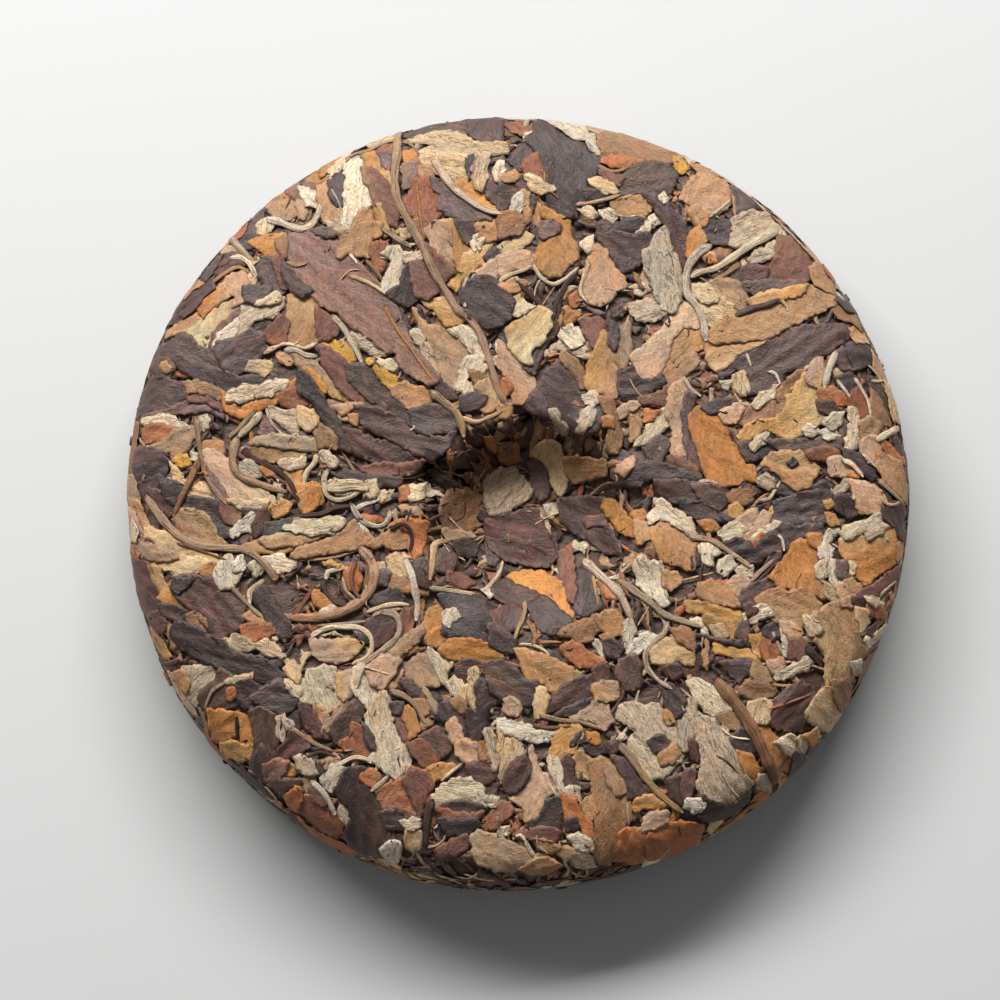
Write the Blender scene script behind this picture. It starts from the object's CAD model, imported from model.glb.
"""The look of a pressed cake of shou mei white tea: leaves, stems and crumbs laid on a core."""
import math
import random

import bpy
import numpy as np
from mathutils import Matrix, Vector
from mathutils.geometry import delaunay_2d_cdt


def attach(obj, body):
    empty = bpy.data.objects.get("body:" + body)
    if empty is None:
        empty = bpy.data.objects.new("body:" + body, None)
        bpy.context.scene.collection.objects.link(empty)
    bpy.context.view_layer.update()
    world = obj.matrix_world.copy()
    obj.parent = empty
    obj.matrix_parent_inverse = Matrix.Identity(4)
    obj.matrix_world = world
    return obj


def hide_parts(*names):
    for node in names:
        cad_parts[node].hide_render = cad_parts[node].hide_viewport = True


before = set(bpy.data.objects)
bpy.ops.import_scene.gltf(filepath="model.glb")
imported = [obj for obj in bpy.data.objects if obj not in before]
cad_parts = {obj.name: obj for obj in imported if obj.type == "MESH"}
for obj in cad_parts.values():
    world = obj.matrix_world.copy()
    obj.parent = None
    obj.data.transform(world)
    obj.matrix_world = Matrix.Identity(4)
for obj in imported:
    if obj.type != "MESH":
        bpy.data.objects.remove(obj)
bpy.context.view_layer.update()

# Lengths are in millimetres up to the point where a mesh is made.
METRE = 0.001

# The cake's form, as the CAD model has it
RADIUS = 100.0
THICKNESS = 28.0
RIM_HEIGHT = 12.5
FOOT_RADIUS = 64.0
SHOULDER_POWER = 12.0
UNDERSIDE_POWER = 2.3
RIM_WAVES = [(0.0035, 2, 0.0), (0.0045, 3, math.radians(130)), (0.0020, 7, math.radians(155))]
DIMPLE_CENTRE = (2.6, -3.6)
DIMPLE_DEPTH = 13.5
DIMPLE_FLOOR_RADIUS = 12.0
DIMPLE_LIP_RADIUS = 28.5
DIMPLE_LIP_SHIFT = 5.0
DIMPLE_LONG_SIDE = math.radians(-75)
PLEATS = 11
PLEAT_HEIGHT = 0.7
PLEAT_WIDTH = 8.0
SWELL_HEIGHT = 0.45
SWELL_LENGTHS = (17.0, 21.0)
SWELL_ENDS = 0.8
PROFILE_STEPS = 400

# The photograph: its pixels a side, its scale, the pixel of the cake's middle, and its camera, which
# looks from nearly straight above
PHOTO_SIDE = 1000
PHOTO_MM = 0.2558
CENTRE_PIXEL = (516, 499)
CAMERA_LENS = 100.0
CAMERA_SENSOR = 36.0
CAMERA_ELEVATION = math.radians(84)
CAMERA_DISTANCE = 711.0
CAMERA_TARGET = (-4.1, -0.3, RIM_HEIGHT)
CAMERA_NEAR = 0.01
SIGHT_STEPS = 12

# The random draws, and the range of a wave's phase
SEED = 350
ANY_PHASE = (0, 6.28)

# The height fields that the leaves are laid in: their cells, how far they reach, the margin round a
# leaf, how far a field is smoothed for its mean level, how deep a gap counts in it, and how far the
# sheet is moved outward
CELL = 0.4
FACE_EXTENT = 132.0
UNDERSIDE_EXTENT = 104.0
MARGIN_CELLS = 8
LEVELLING_CELLS = 15
GAP_DEPTH = 0.4
SURFACE_OFFSET = 0.15
UNDERSIDE_OFFSET = -0.75
NORMAL_STEP = 0.5

# How the cloth presses the leaves: the share of the relief that is left, and how much relief it is
# taken from
PRESSED_SHARE = 0.5
PRESSED_DEPTH = 2.0

# How the rim is rubbed: from where to where on the unrolled face, how much relief is lost and how far
# it sinks
RUBBED_FROM = 0.86
RUBBED_TO = 0.98
RUBBED_SHARE = 0.5
RIM_SINK = 0.7

# The lowest leaves are eased up to the floor, from this height down to this gap
FLOOR_EASE = 0.5
FLOOR_GAP = 0.02

# The colours of the lit leaves in the photograph, in sRGB
COLOURS = {
    "soot": (57, 44, 41),
    "black": (58, 45, 42),
    "slate": (71, 58, 55),
    "umber": (85, 65, 54),
    "maroon": (88, 58, 50),
    "plum": (82, 62, 57),
    "mauve": (108, 84, 78),
    "heather": (140, 108, 97),
    "rosewood": (126, 86, 73),
    "russet": (148, 94, 68),
    "rust": (182, 113, 69),
    "brown": (155, 115, 82),
    "olive": (178, 144, 103),
    "taupe": (168, 140, 115),
    "greige": (203, 180, 156),
    "rose": (193, 159, 134),
    "tan": (181, 139, 101),
    "sand": (218, 185, 144),
    "ochre": (200, 152, 94),
    "amber": (192, 139, 82),
    "orange": (188, 127, 70),
    "yellow": (206, 157, 66),
    "khaki": (210, 182, 143),
    "sage": (206, 186, 144),
    "straw": (214, 193, 160),
    "cream": (222, 201, 170),
    "ivory": (232, 213, 188),
}
KIND_COLOURS = {
    "dark": ("soot", "black", "slate", "umber", "maroon", "plum", "mauve"),
    "brown": ("heather", "rosewood", "russet", "rust", "brown", "olive"),
    "tan": ("taupe", "rose", "tan", "ochre", "amber", "orange", "yellow", "khaki", "sage"),
    "pale": ("greige", "sand", "straw", "cream", "ivory"),
}

# How pale a leaf is beside its named colour, how far one leaf differs from the next in light and in
# warmth, and how far a leaf's colour goes over to its second one
LEAF_LIGHT = 0.87
LIGHT_RANGE = (0.88, 1.12)
WARMTH_RANGE = (-0.05, 0.05)
SECOND_COLOUR = 0.6
COLOUR_SLOPE = (-0.5, 1.3)

# How much paler the rim is away from the window, and from where on the unrolled face
RIM_SHADE = 0.30
RIM_SHADE_FROM = 0.72

# How each kind of leaf lies: the lengths of its waves along and across it, their height, how far its
# edges lift, how thick it is, how ragged its edge is and how often it is folded
KINDS = {
    "dark": {
        "along": (12, 34), "across": (3.2, 8), "waves": 0.25,
        "lift": 0.36, "thick": 0.16, "ragged": 0.30, "folded": 0.8,
    },
    "brown": {
        "along": (10, 30), "across": (3.5, 9), "waves": 0.21,
        "lift": 0.34, "thick": 0.16, "ragged": 0.34, "folded": 0.7,
    },
    "tan": {
        "along": (12, 36), "across": (5, 14), "waves": 0.17,
        "lift": 0.32, "thick": 0.15, "ragged": 0.34, "folded": 0.6,
    },
    "pale": {
        "along": (8, 22), "across": (2.2, 5), "waves": 0.26,
        "lift": 0.30, "thick": 0.16, "ragged": 0.40, "folded": 0.6,
    },
}

# A leaf's outline: the step along it as a share of the net's spacing, how round its corners are, how
# far a traced leaf grows and how strongly its edge is torn, the lengths of the tears, and how uneven
# the net inside it is
OUTLINE_STEP = 0.9
CORNER_ROUNDING = 0.1
TRACED_SPACING = 0.9
TRACED_GROWTH = 0.5
TRACED_TEAR = 0.8
TEAR_LENGTHS = (2.1, 3.7, 7.3)
TEAR_DIVISOR = 2.2
NET_JITTER = 0.16
NET_ROW = 0.866
NET_CLEARANCE = 0.5
BATCH = 512

# How a leaf bends over what is below it: how stiff it is, in cells, and how much of what stands out
# lifts it
LEAF_STIFFNESS = 3
STIFFER_WITH_SIZE = 3
RISE_PERCENTILE = 80
HIGHEST_RISE = 0.4
BED_CELLS = 2

# A leaf's own form: small ones are calmer; the lift and curl of its edges; its waves and creases; its
# midrib; its folds
SMALLEST_CALM = 0.3
CALM_SIZE = 14
LIFT_RANGE = (0.1, 0.9)
LIFT_SLOPE = (-1.0, 1.2)
CURL_RANGE = (-0.2, 1.0)
CURL_POWER = 3
CURL_LIMIT = 1.2
WAVES = 6
CREASE_HEIGHT = 1.3
CREASE_POWER = 0.7
WAVE_SHARE = 0.6
WAVE_LEVEL = 0.55
LOWEST_WAVE = -0.1
MIDRIB_SIZE = 7
MIDRIB_SHARE = 0.6
MIDRIB_HEIGHT = 0.22
MIDRIB_WIDTH = 0.55
MIDRIB_SLANT = 0.04
FOLD_SIZE = 5
FOLD_WIDTHS = (2.6, 6.0)
FOLD_LEANS = (-0.35, 0.35)
FOLD_HEIGHTS = (0.35, 0.75)
FOLD_EDGE = 0.86

# A stem: its sides, the step along it, its taper, its narrow tips, the swellings along it, how far it
# rides over its bed, how flat it is, and how stiff it is
STEM_SIDES = 9
HAIR_SIDES = 6
THICKEST_HAIR = 1
STEM_STEP = 0.9
STEM_TAPER = 0.75
STEM_TIP = 0.35
STEM_TIP_LENGTH = 0.8
SWELLING_LENGTHS = (5.0, 11.0)
SWELLING = 0.08
STEM_RIDE = 0.45
STEM_GAP = 0.1
STEM_FLATNESS = 0.85
STEM_STIFFNESS = 3.0
STEM_RIDGE = 0.10
STEM_ROUGHNESS = 0.07
STEM_TWIST = 0.02
STEM_SECOND_COLOUR = 0.5

# A random leaf: its forms, as often as they come up, and how wide each of them is for its length
FORMS = ("blade", "slab", "sliver", "sliver", "sliver", "scrap")
SLIMNESS = {"blade": 0.28, "slab": 0.42, "sliver": 0.13}
SLAB_WIDTHS = (0.6, 1.0)
BLADE_TIP = 0.1
BLADE_SPAN = (0.05, 0.88)
EDGE_REACHES = (0.5, 1.2)
SCRAP_SLIMNESS = (0.3, 0.7)
SCRAP_CORNERS = (5, 8)
SCRAP_SWING = 0.35
SCRAP_REACHES = (0.45, 1.05)
OUTLINE_STEPS = 4
OUTLINE_BEND = 0.2
OUTLINE_SLIP = 0.08
LARGE_SHARE = 0.7
ALIGNED_SPREAD = 0.5
STEM_BEND = 0.25

# How many parts of each colour the loose leaves have: in the depth, on the face, on the side and in the
# crumbs
DEEP_MIX = {
    "black": 10, "slate": 12, "soot": 8, "plum": 9, "umber": 11, "maroon": 9, "mauve": 7, "rosewood": 7,
    "brown": 8, "rust": 5, "russet": 5, "olive": 4, "taupe": 4, "tan": 5,
}
FACE_MIX = {
    "black": 7, "slate": 8, "plum": 7, "umber": 8, "maroon": 8, "mauve": 6, "rosewood": 8, "brown": 8,
    "rust": 7, "russet": 5, "olive": 6, "taupe": 8, "greige": 9, "rose": 8, "tan": 10, "orange": 5,
    "amber": 3, "ochre": 4, "khaki": 4, "sand": 4, "cream": 4, "ivory": 4,
}
SIDE_MIX = {
    "black": 9, "slate": 9, "plum": 7, "umber": 8, "maroon": 8, "mauve": 5, "rosewood": 7, "brown": 8,
    "rust": 6, "olive": 4, "taupe": 6, "greige": 6, "rose": 6, "tan": 8, "orange": 6, "khaki": 3,
    "sand": 4, "cream": 5, "ivory": 5,
}
CRUMB_MIX = {
    "black": 12, "slate": 8, "umber": 10, "maroon": 8, "brown": 8, "rust": 8, "tan": 9, "rose": 6,
    "orange": 6, "sand": 9, "cream": 11, "ivory": 12,
}

# The layers of loose leaves and stems, each over the one before, and how far they reach. The face's go
# a little over the edge of the unrolled face, and the side's lie round that edge, from above it to
# below it.
FACE_LAYERS = [
    {"count": 560, "sizes": (8, 17), "palette": DEEP_MIX, "spacing": 1.5},
    {"count": 950, "sizes": (5, 12), "palette": DEEP_MIX, "spacing": 1.1},
    {"count": 1900, "sizes": (3, 10), "palette": FACE_MIX, "spacing": 0.85},
]
FACE_STEMS = {"count": 260, "lengths": (6, 22), "diameters": (0.4, 1.2), "palette": FACE_MIX}
FACE_OVERLAP = 2
SIDE_LAYERS = [
    {"count": 560, "sizes": (9, 22), "palette": SIDE_MIX, "spacing": 1.25},
    {"count": 420, "sizes": (4, 11), "palette": SIDE_MIX, "spacing": 1.0},
]
SIDE_ABOVE = 8
SIDE_BELOW = 22
CRUMBS = {"count": 90, "sizes": (1.0, 3.0), "palette": CRUMB_MIX, "spacing": 0.6, "lift": 0.0, "stiff": 1}
CRUMB_STEMS = {"count": 40, "lengths": (3, 10), "diameters": (0.3, 0.6), "palette": CRUMB_MIX}
CRUMB_REACH = 104
UNDERSIDE_LAYERS = [
    {"count": 420, "sizes": (10, 24), "palette": DEEP_MIX, "spacing": 2.2},
    {"count": 640, "sizes": (9, 26), "palette": FACE_MIX, "spacing": 1.7},
]
UNDERSIDE_STEMS = {"count": 60, "lengths": (14, 46), "diameters": (1.0, 2.4), "palette": FACE_MIX}
UNDERSIDE_REACH = 98
UNDERSIDE_STEM_REACH = 66

# The dark core: how far it lies under the sheets, and its segments and rings
CORE_DEPTH = 1.0
CORE_SEGMENTS = 144
CORE_UPPER_RINGS = 56
CORE_LOWER_RINGS = 24
CORE_COLOUR = "umber"

# The hollows under the dimple's lip: the pixel of the middle, half the length and half the width, the
# turn and the depth, and how far out from the middle each goes down
HOLLOWS = [
    ((436, 482), (9.5, 3.4), math.radians(88), 8.0),
    ((531, 433), (4.8, 3.6), 0.0, 7.0),
    ((474, 484), (4.4, 2.2), math.radians(-8), 4.0),
    ((580, 446), (6.0, 2.2), math.radians(-42), 5.0),
]
HOLLOW_SLOPE = (0.5, 1.1)

# How each kind of leaf looks: how far its pattern is drawn out along it; how strongly it is blotched,
# fibred, creased, veined, flecked and worn at its edges; how far its blotches turn to another colour,
# and by what that colour differs; how rough, uneven and shiny it is
LOOKS = {
    "dark": {
        "stretch": 1.0, "blotch": 0.28, "fibre": 0.14, "crease": 0.42, "vein": 0.35, "fleck": 0.5,
        "edge": 0.2, "turned": 0.55, "turned_by": (1.50, 1.04, 0.84, 1),
        "rough": 0.50, "relief": 0.42, "shine": 0.5,
    },
    "brown": {
        "stretch": 1.0, "blotch": 0.34, "fibre": 0.16, "crease": 0.45, "vein": 0.45, "fleck": 0.5,
        "edge": 0.5, "turned": 0.65, "turned_by": (0.60, 0.45, 0.40, 1),
        "rough": 0.62, "relief": 0.42, "shine": 0.4,
    },
    "tan": {
        "stretch": 1.0, "blotch": 0.30, "fibre": 0.15, "crease": 0.42, "vein": 0.45, "fleck": 0.6,
        "edge": 0.55, "turned": 0.60, "turned_by": (0.76, 0.60, 0.46, 1),
        "rough": 0.70, "relief": 0.36, "shine": 0.35,
    },
    "pale": {
        "stretch": 0.5, "blotch": 0.30, "fibre": 0.26, "crease": 0.55, "vein": 0.0, "fleck": 0.6,
        "edge": 0.35, "turned": 0.65, "turned_by": (0.70, 0.60, 0.47, 1),
        "rough": 0.78, "relief": 0.65, "shine": 0.25,
    },
    "stem": {
        "stretch": 0.16, "blotch": 0.26, "fibre": 0.32, "crease": 0.45, "vein": 0.0, "fleck": 0.5,
        "edge": 0.0, "turned": 0.55, "turned_by": (0.66, 0.50, 0.40, 1),
        "rough": 0.70, "relief": 0.75, "shine": 0.3,
    },
}
VEIN_TINT = (1.45, 1.38, 1.25, 1)
FLECK_DARK = (0.035, 0.022, 0.017, 1)
FLECK_PALE = (0.52, 0.42, 0.31, 1)
EDGE_DARK = (0.10, 0.055, 0.032, 1)

# The patterns on a leaf, by the millimetre: how far each is drawn out along and across it, and the
# scale, detail, roughness and warp of its noise
PATCH_PLACE = (0.8, 1.1)
PATCH_NOISE = (0.25, 4.0, 0.60, 1.2)
THREAD_ACROSS = 1.4
THREAD_NOISE = (1.1, 4.0, 0.72, 0.5)
FINE_NOISE = (2.3, 3.0, 0.7)
LINE_ALONG = 0.5
LINE_NOISE = (0.36, 3.0, 0.55, 0.8)
CREASE_WIDTH = 0.016
VEIN_SCALE = 0.36
VEIN_SLANT = 0.75
VEIN_SPREAD = 0.14
VEIN_UNEVENNESS = 0.06
VEIN_WIDTH = (0.03, 0.13)
PATTERN_ROOM = 400.0
EDGE_WIDTH = 0.5
BUMP_DISTANCE = 0.0009
BUMP_THREADS = 0.7
BUMP_LINES = 1.6
BUMP_FINE = 0.45
BUMP_CREASES = -0.3
BUMP_VEINS = 0.3

# Between which values of the noises a leaf's patches, threads and fine grain darken and lighten it, and by
# how much for its blotch and fibre; where its patches turn its colour; where its flecks and worn edges are;
# and how its roughness goes with the fine grain
PATCH_BAND = (0.30, 0.70)
PATCH_LIGHTER = 0.8
THREAD_BAND = (0.28, 0.72)
FINE_DARKER = 0.9
FINE_LIGHTER = 0.8
TURNED_BAND = (0.46, 0.62)
DARK_FLECK_BAND = (0.36, 0.29)
PALE_FLECK_BAND = (0.66, 0.76)
PALE_FLECK_SHARE = 0.5
WORN_BAND = (0.40, 0.58)
ROUGH_BAND = (0.25, 0.75)
ROUGH_BELOW = 0.08
ROUGH_ABOVE = 0.10

# Where the border of a stem's grain is, so that it never counts as worn, and how far apart its ridges'
# grain is
NO_BORDER = 2.0
STEM_GRAIN = 0.35

# The table top and the light, in metres and watts
FLOOR_COLOUR = (0.593, 0.60, 0.60, 1)
FLOOR_ROUGHNESS = 0.9
FLOOR_SHINE = 0.1
FLOOR_HALF_SIDE = 3.0
KEY_AZIMUTH = math.radians(102)
KEY_ELEVATION = math.radians(36.5)
KEY_DISTANCE = 1.33
KEY_SIZE = (1.8, 0.3)
KEY_POWER = 43.0
KEY_COLOUR = (1.0, 0.99, 0.975)
FILL_STRENGTH = 0.15
FILL_COLOUR = (0.97, 0.98, 1.0)

# The traced leaves by region: each line is a colour and the leaf's outline in pixels of the photograph
TRACED_LEAVES = {
    "upper left": """
maroon 183,298 200,298 192,312 180,322 163,328 168,318
tan 200,300 226,298 206,322 195,328 182,332 164,338 166,331 178,324 192,314
sage 206,316 222,304 238,300 240,308 228,318 218,326 212,338 208,348 199,350 196,340 187,332 196,326
rosewood 210,346 214,334 224,322 240,308 240,314 226,326 217,336 214,346
ivory 213,347 217,338 226,328 238,319 241,330 232,338 222,342
slate 246,330 256,318 272,316 284,302 288,308 280,322 270,332 262,340 246,338
greige 242,302 256,302 270,300 284,298 282,306 276,316 262,318 254,321 246,330 240,338 240,325 243,312
tan 288,296 318,292 322,346 300,347 286,343 282,330 288,312
rosewood 280,316 289,322 285,343 272,344 264,340 268,330
umber 160,346 172,342 180,334 191,336 197,347 206,350 219,350 224,360 228,369 200,369 180,361
plum 217,343 238,338 252,330 263,335 265,352 256,362 246,368 238,375 230,375 222,366 217,356
slate 157,350 175,352 198,364 220,370 236,377 256,375 272,374 282,381 262,387 244,389 226,393 214,385
196,379 180,369 159,360
sand 250,362 259,361 269,362 272,370 264,375 246,370
umber 151,360 168,359 175,369 168,377 156,375 149,367
tan 160,366 168,363 172,369 166,373
plum 149,378 168,379 182,386 189,396 178,405 160,412 135,417 139,400 145,386
mauve 135,419 160,413 186,403 210,398 221,407 223,418 212,412 190,412 164,416 150,421
rosewood 186,391 204,393 217,397 223,411 206,402 190,401
brown 183,382 200,382 214,387 225,393 223,401 208,394 190,392
orange 222,391 232,402 238,410 252,404 266,396 280,388 295,379 292,387 276,402 262,409 246,415 240,419
226,410
greige 226,398 234,389 246,385 260,388 263,394 252,398 240,403 228,401
ivory 256,391 270,381 288,380 284,388 270,395 258,397
russet 281,394 294,387 305,396 307,405 290,409 279,402
rose 277,355 290,350 297,356 292,365 282,361
taupe 292,351 304,355 318,365 330,379 343,393 353,401 338,399 326,391 312,375 296,363
orange 304,368 314,371 323,384 327,393 314,391 308,380
ivory 140,422 158,416 172,417 184,423 190,429 180,430 164,424 148,425
rust 141,431 152,424 164,425 177,430 169,439 158,441 146,443 141,438
brown 132,420 139,423 137,436 135,448 133,462 131,476 128,470 129,444
taupe 147,449 166,440 174,431 188,428 201,425 199,434 192,438 190,448 180,457 172,461 170,451 160,453
plum 137,448 150,448 167,454 162,463 146,467 133,467
slate 133,469 146,464 162,456 169,462 165,475 150,479 137,482
slate 135,485 160,476 168,486 160,493 144,500 134,492
taupe 125,477 132,475 137,490 139,505 127,505
sand 171,463 178,469 184,480 200,483 211,490 224,502 198,501 186,495 175,484
yellow 175,458 186,455 191,464 182,467
tan 201,447 212,438 222,443 223,453 208,451
rose 203,450 214,450 228,460 240,474 252,483 265,489 276,502 240,506 228,502 220,485 208,470
mauve 207,467 220,485 231,502 222,504 211,488
mauve 263,417 284,423 300,431 312,439 280,438 261,435
greige 269,407 286,411 300,409 313,411 319,424 310,431 300,427 296,435 284,427 272,417
olive 249,448 266,444 284,447 305,451 301,461 276,462 255,457
taupe 249,443 260,437 280,435 300,437 323,443 323,450 300,450 270,445
greige 241,464 250,461 259,468 262,475 248,479 239,472
orange 261,467 272,467 279,474 266,475
tan 285,465 300,467 303,484 299,501 289,488
greige 279,462 292,459 305,459 303,467 286,469
orange 295,486 312,483 323,487 323,503 300,504
""",
    "upper centre": """
greige 351,334 358,329 367,340 363,351 356,345
greige 360,340 384,335 393,342 387,353 376,357 365,350
cream 375,359 392,361 399,366 392,371 379,366
yellow 325,343 334,340 343,343 350,351 355,363 344,362 335,352
rosewood 315,306 328,315 338,330 331,339 319,341
rosewood 317,346 330,349 345,362 352,377 368,392 388,409 368,408 351,399 337,385 325,366
umber 345,364 362,365 374,361 385,378 399,396 412,413 413,426 400,421 384,409 364,396 350,380
yellow 375,365 386,371 394,377 396,385 389,387 383,382 378,374
yellow 366,361 370,358 375,363 370,364
maroon 336,426 352,430 372,440 396,444 424,456 420,465 396,467 372,461 352,453 340,441
plum 355,406 376,408 398,418 416,436 444,438 456,431 449,446 432,461 414,452 392,440 370,430 358,419
rosewood 361,468 380,464 404,464 426,461 413,473 396,477 375,477
tan 335,406 348,403 363,404 352,410 342,415
tan 349,415 357,415 357,425 350,423
black 299,370 312,380 324,400 336,416 344,436 351,453 338,447 326,424 312,402 299,391
brown 317,424 330,430 337,440 335,449 320,447 315,436
khaki 299,407 312,411 319,420 310,431 299,425
greige 319,452 328,453 339,462 335,467 324,461
umber 344,470 372,477 402,479 398,487 360,485 340,478
cream 367,482 375,480 377,499 367,497
cream 407,488 420,485 429,483 425,497 412,502
rust 400,489 407,488 409,499 401,502
tan 389,388 404,383 416,387 429,391 433,400 424,409 414,413 406,405 396,397
slate 395,305 404,317 412,333 425,350 416,351 404,335 393,314
taupe 413,308 426,325 440,327 452,331 462,341 471,350 466,361 460,373 457,393 446,389 440,377 438,362
430,350 424,338
ochre 421,299 446,299 456,313 467,319 457,325 446,327 438,312 428,306
cream 411,332 418,329 425,338 422,343 414,343
greige 421,343 429,346 433,360 439,373 430,369 422,358
ivory 449,330 462,327 474,331 481,346 485,361 478,359 470,349 462,340
ivory 461,366 469,357 480,357 487,368 480,377 472,373 466,380 475,393 466,395 457,389 459,374
brown 470,371 480,373 491,377 484,383 474,383
tan 475,386 488,379 499,390 501,403 490,413 479,409 486,398
plum 439,378 452,391 457,397 446,399 437,388
plum 459,398 474,393 487,396 479,409 463,411
slate 461,299 481,299 491,311 484,323 474,317 466,308
rosewood 481,325 496,307 506,311 495,328 488,335
ivory 495,345 504,340 509,357 500,357
slate 409,412 432,403 453,411 459,424 453,431 430,435 415,429
""",
    "upper middle": """
slate 500,323 510,329 513,345 501,345
rose 499,341 510,353 520,363 530,373 535,382 531,394 524,403 514,403 512,390 506,376 499,366
plum 552,305 563,311 559,330 547,344 541,356 535,373 523,367 531,351 538,340 551,322
sage 507,328 518,322 532,312 542,307 553,315 551,326 546,335 540,346 534,346 530,352 532,365 524,363
514,354 508,344
cream 507,313 524,302 535,306 528,311 513,317
amber 563,308 572,306 579,314 572,322 559,327 562,316
greige 545,357 551,346 564,341 574,347 584,347 589,359 580,357 570,350 558,350
ivory 560,332 572,325 581,332 582,344 574,349 566,343 561,339
rosewood 582,320 598,317 605,322 601,338 594,349 589,340 583,332
plum 547,372 560,361 568,366 578,380 584,390 589,402 601,404 603,420 596,433 580,435 566,433 552,421
540,417 527,409 531,396 540,384
brown 563,351 576,361 583,372 590,389 582,387 573,373 561,358
tan 604,331 612,340 617,356 620,380 619,393 612,399 606,394 589,393 585,380 588,366 594,352
greige 549,410 556,409 560,420 569,428 566,435 555,428
greige 584,411 592,407 597,414 590,425 583,432 577,431
ivory 583,396 594,393 601,400 594,407 587,403
brown 599,397 612,401 618,416 621,436 618,453 609,451 608,436 610,420 603,408
taupe 619,330 628,321 631,346 628,361 624,371 617,362
greige 629,306 650,299 673,299 668,313 654,321 639,321
slate 611,321 618,330 616,351 609,344
tan 663,358 670,342 684,329 701,327 703,348 690,353 674,368 663,375
rose 631,356 644,346 660,332 672,316 680,303 692,303 703,318 698,327 684,327 672,339 668,357 660,373
648,381 639,382 636,370
tan 661,377 680,360 692,351 699,360 688,373 676,383 666,387
black 619,372 632,367 640,380 652,380 662,374 665,385 650,393 640,399 626,403 619,392
rosewood 639,399 656,394 668,387 673,394 666,407 654,403 643,405
rose 619,419 621,406 636,401 641,404 630,412
tan 631,415 642,420 640,433 631,442
straw 635,445 645,432 654,420 659,410 668,411 667,424 658,435 646,443
rust 643,421 647,412 660,411 652,420
rose 669,392 676,384 684,379 689,392 685,408 683,424 691,450 684,459 671,457 673,430 667,412
mauve 686,391 695,396 691,416 689,436 697,450 701,471 690,463 684,440 682,412
slate 643,447 660,435 669,444 662,461 649,459
rosewood 667,457 684,459 697,469 702,477 684,475 671,469
slate 620,477 640,463 660,463 684,471 702,477 702,486 676,483 652,478 636,487 619,485
plum 655,480 680,481 702,485 702,502 670,502 659,493
rose 615,471 624,463 635,455 633,466 624,475
khaki 531,455 539,444 552,439 560,445 564,460 568,476 566,489 560,495 552,485 545,466 539,457
tan 565,456 586,459 605,461 607,474 590,479 573,483 567,470
mauve 529,461 540,461 547,474 549,493 540,502 533,489
brown 499,446 516,443 521,458 510,463 499,459
tan 499,407 513,403 508,419 499,417
rust 500,378 508,379 513,390 504,397
orange 603,418 612,418 613,429 603,427
""",
    "upper right": """
plum 719,373 742,353 764,343 768,333 790,329 850,325 849,336 836,347 826,353 812,363 802,369 784,373
781,385 766,393 747,394 750,376 736,368 722,379
tan 705,337 726,328 774,328 764,342 742,352 724,367 716,373 707,358
sand 733,376 743,371 747,382 749,395 741,395 733,386
cream 721,382 731,381 728,391
brown 735,421 746,410 756,404 772,401 782,386 792,376 807,369 800,380 790,392 784,410 781,421 760,419
744,425
ochre 735,439 746,428 758,421 776,419 786,408 788,396 796,384 806,373 818,386 821,404 823,420 812,429
800,435 788,441 778,435 766,428 756,437 742,441
rose 805,370 815,361 822,359 825,372 818,389 807,381
ivory 753,405 761,394 774,389 777,385 773,397 762,403 756,409
rust 819,390 834,387 847,396 849,405 836,405 828,401 819,399
maroon 817,400 830,402 839,410 832,415 819,411
slate 835,352 852,343 863,341 873,352 875,363 860,367 846,371 835,363
tan 849,329 862,326 870,342 856,343
black 835,378 852,373 859,382 852,393 841,389
russet 849,396 858,387 866,394 871,408 873,419 858,421 849,404
ivory 848,407 855,409 859,422 859,436 856,447 846,451 841,446 848,436 850,422
orange 689,417 697,407 710,412 721,416 727,430 731,442 739,446 747,458 755,472 755,482 744,480 734,484
722,487 708,479 702,466 700,454 693,438
slate 701,408 712,401 728,399 737,402 726,411 711,413
rose 719,414 732,407 740,401 743,408 736,421 725,423
black 729,427 738,443 752,443 770,446 791,452 782,459 760,459 747,461
umber 763,440 790,441 820,439 843,439 841,449 820,451 800,453 779,449
greige 749,445 758,437 769,433 764,443 754,449
ivory 801,430 812,425 821,432 812,437
ivory 820,432 832,427 839,436 829,441
cream 823,420 834,415 843,413 841,424 830,429
black 763,469 776,473 786,484 800,489 812,486 824,481 833,486 826,495 806,497 784,495 771,491
olive 761,464 772,455 784,451 802,453 812,461 819,468 813,479 809,487 794,489 786,482 778,472 768,468
black 787,464 793,459 797,464 791,468
russet 805,452 820,447 836,449 839,457 824,461 811,459
rose 827,458 840,457 852,465 859,474 846,477 831,475
slate 843,449 856,453 868,463 878,477 871,480 858,469 847,459
slate 775,502 796,495 816,491 831,493 833,507 827,523 800,530 777,528 775,514
greige 831,491 840,484 850,477 851,485 842,493 833,495
black 835,496 848,495 859,502 859,513 848,519 837,509
rose 851,480 868,483 881,491 881,513 862,514 855,501
greige 757,481 766,473 773,478 775,487 768,489 759,485
plum 693,485 712,485 727,491 731,502 718,509 699,496
slate 679,499 700,502 720,512 732,521 706,522 685,513
brown 727,494 740,489 751,493 753,502 740,505 729,500
ochre 730,506 738,503 742,512 736,519 729,514
rose 735,521 748,511 757,509 759,520 748,529
orange 699,522 712,521 721,529 706,531
ochre 825,502 830,500 833,505 828,510
""",
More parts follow.
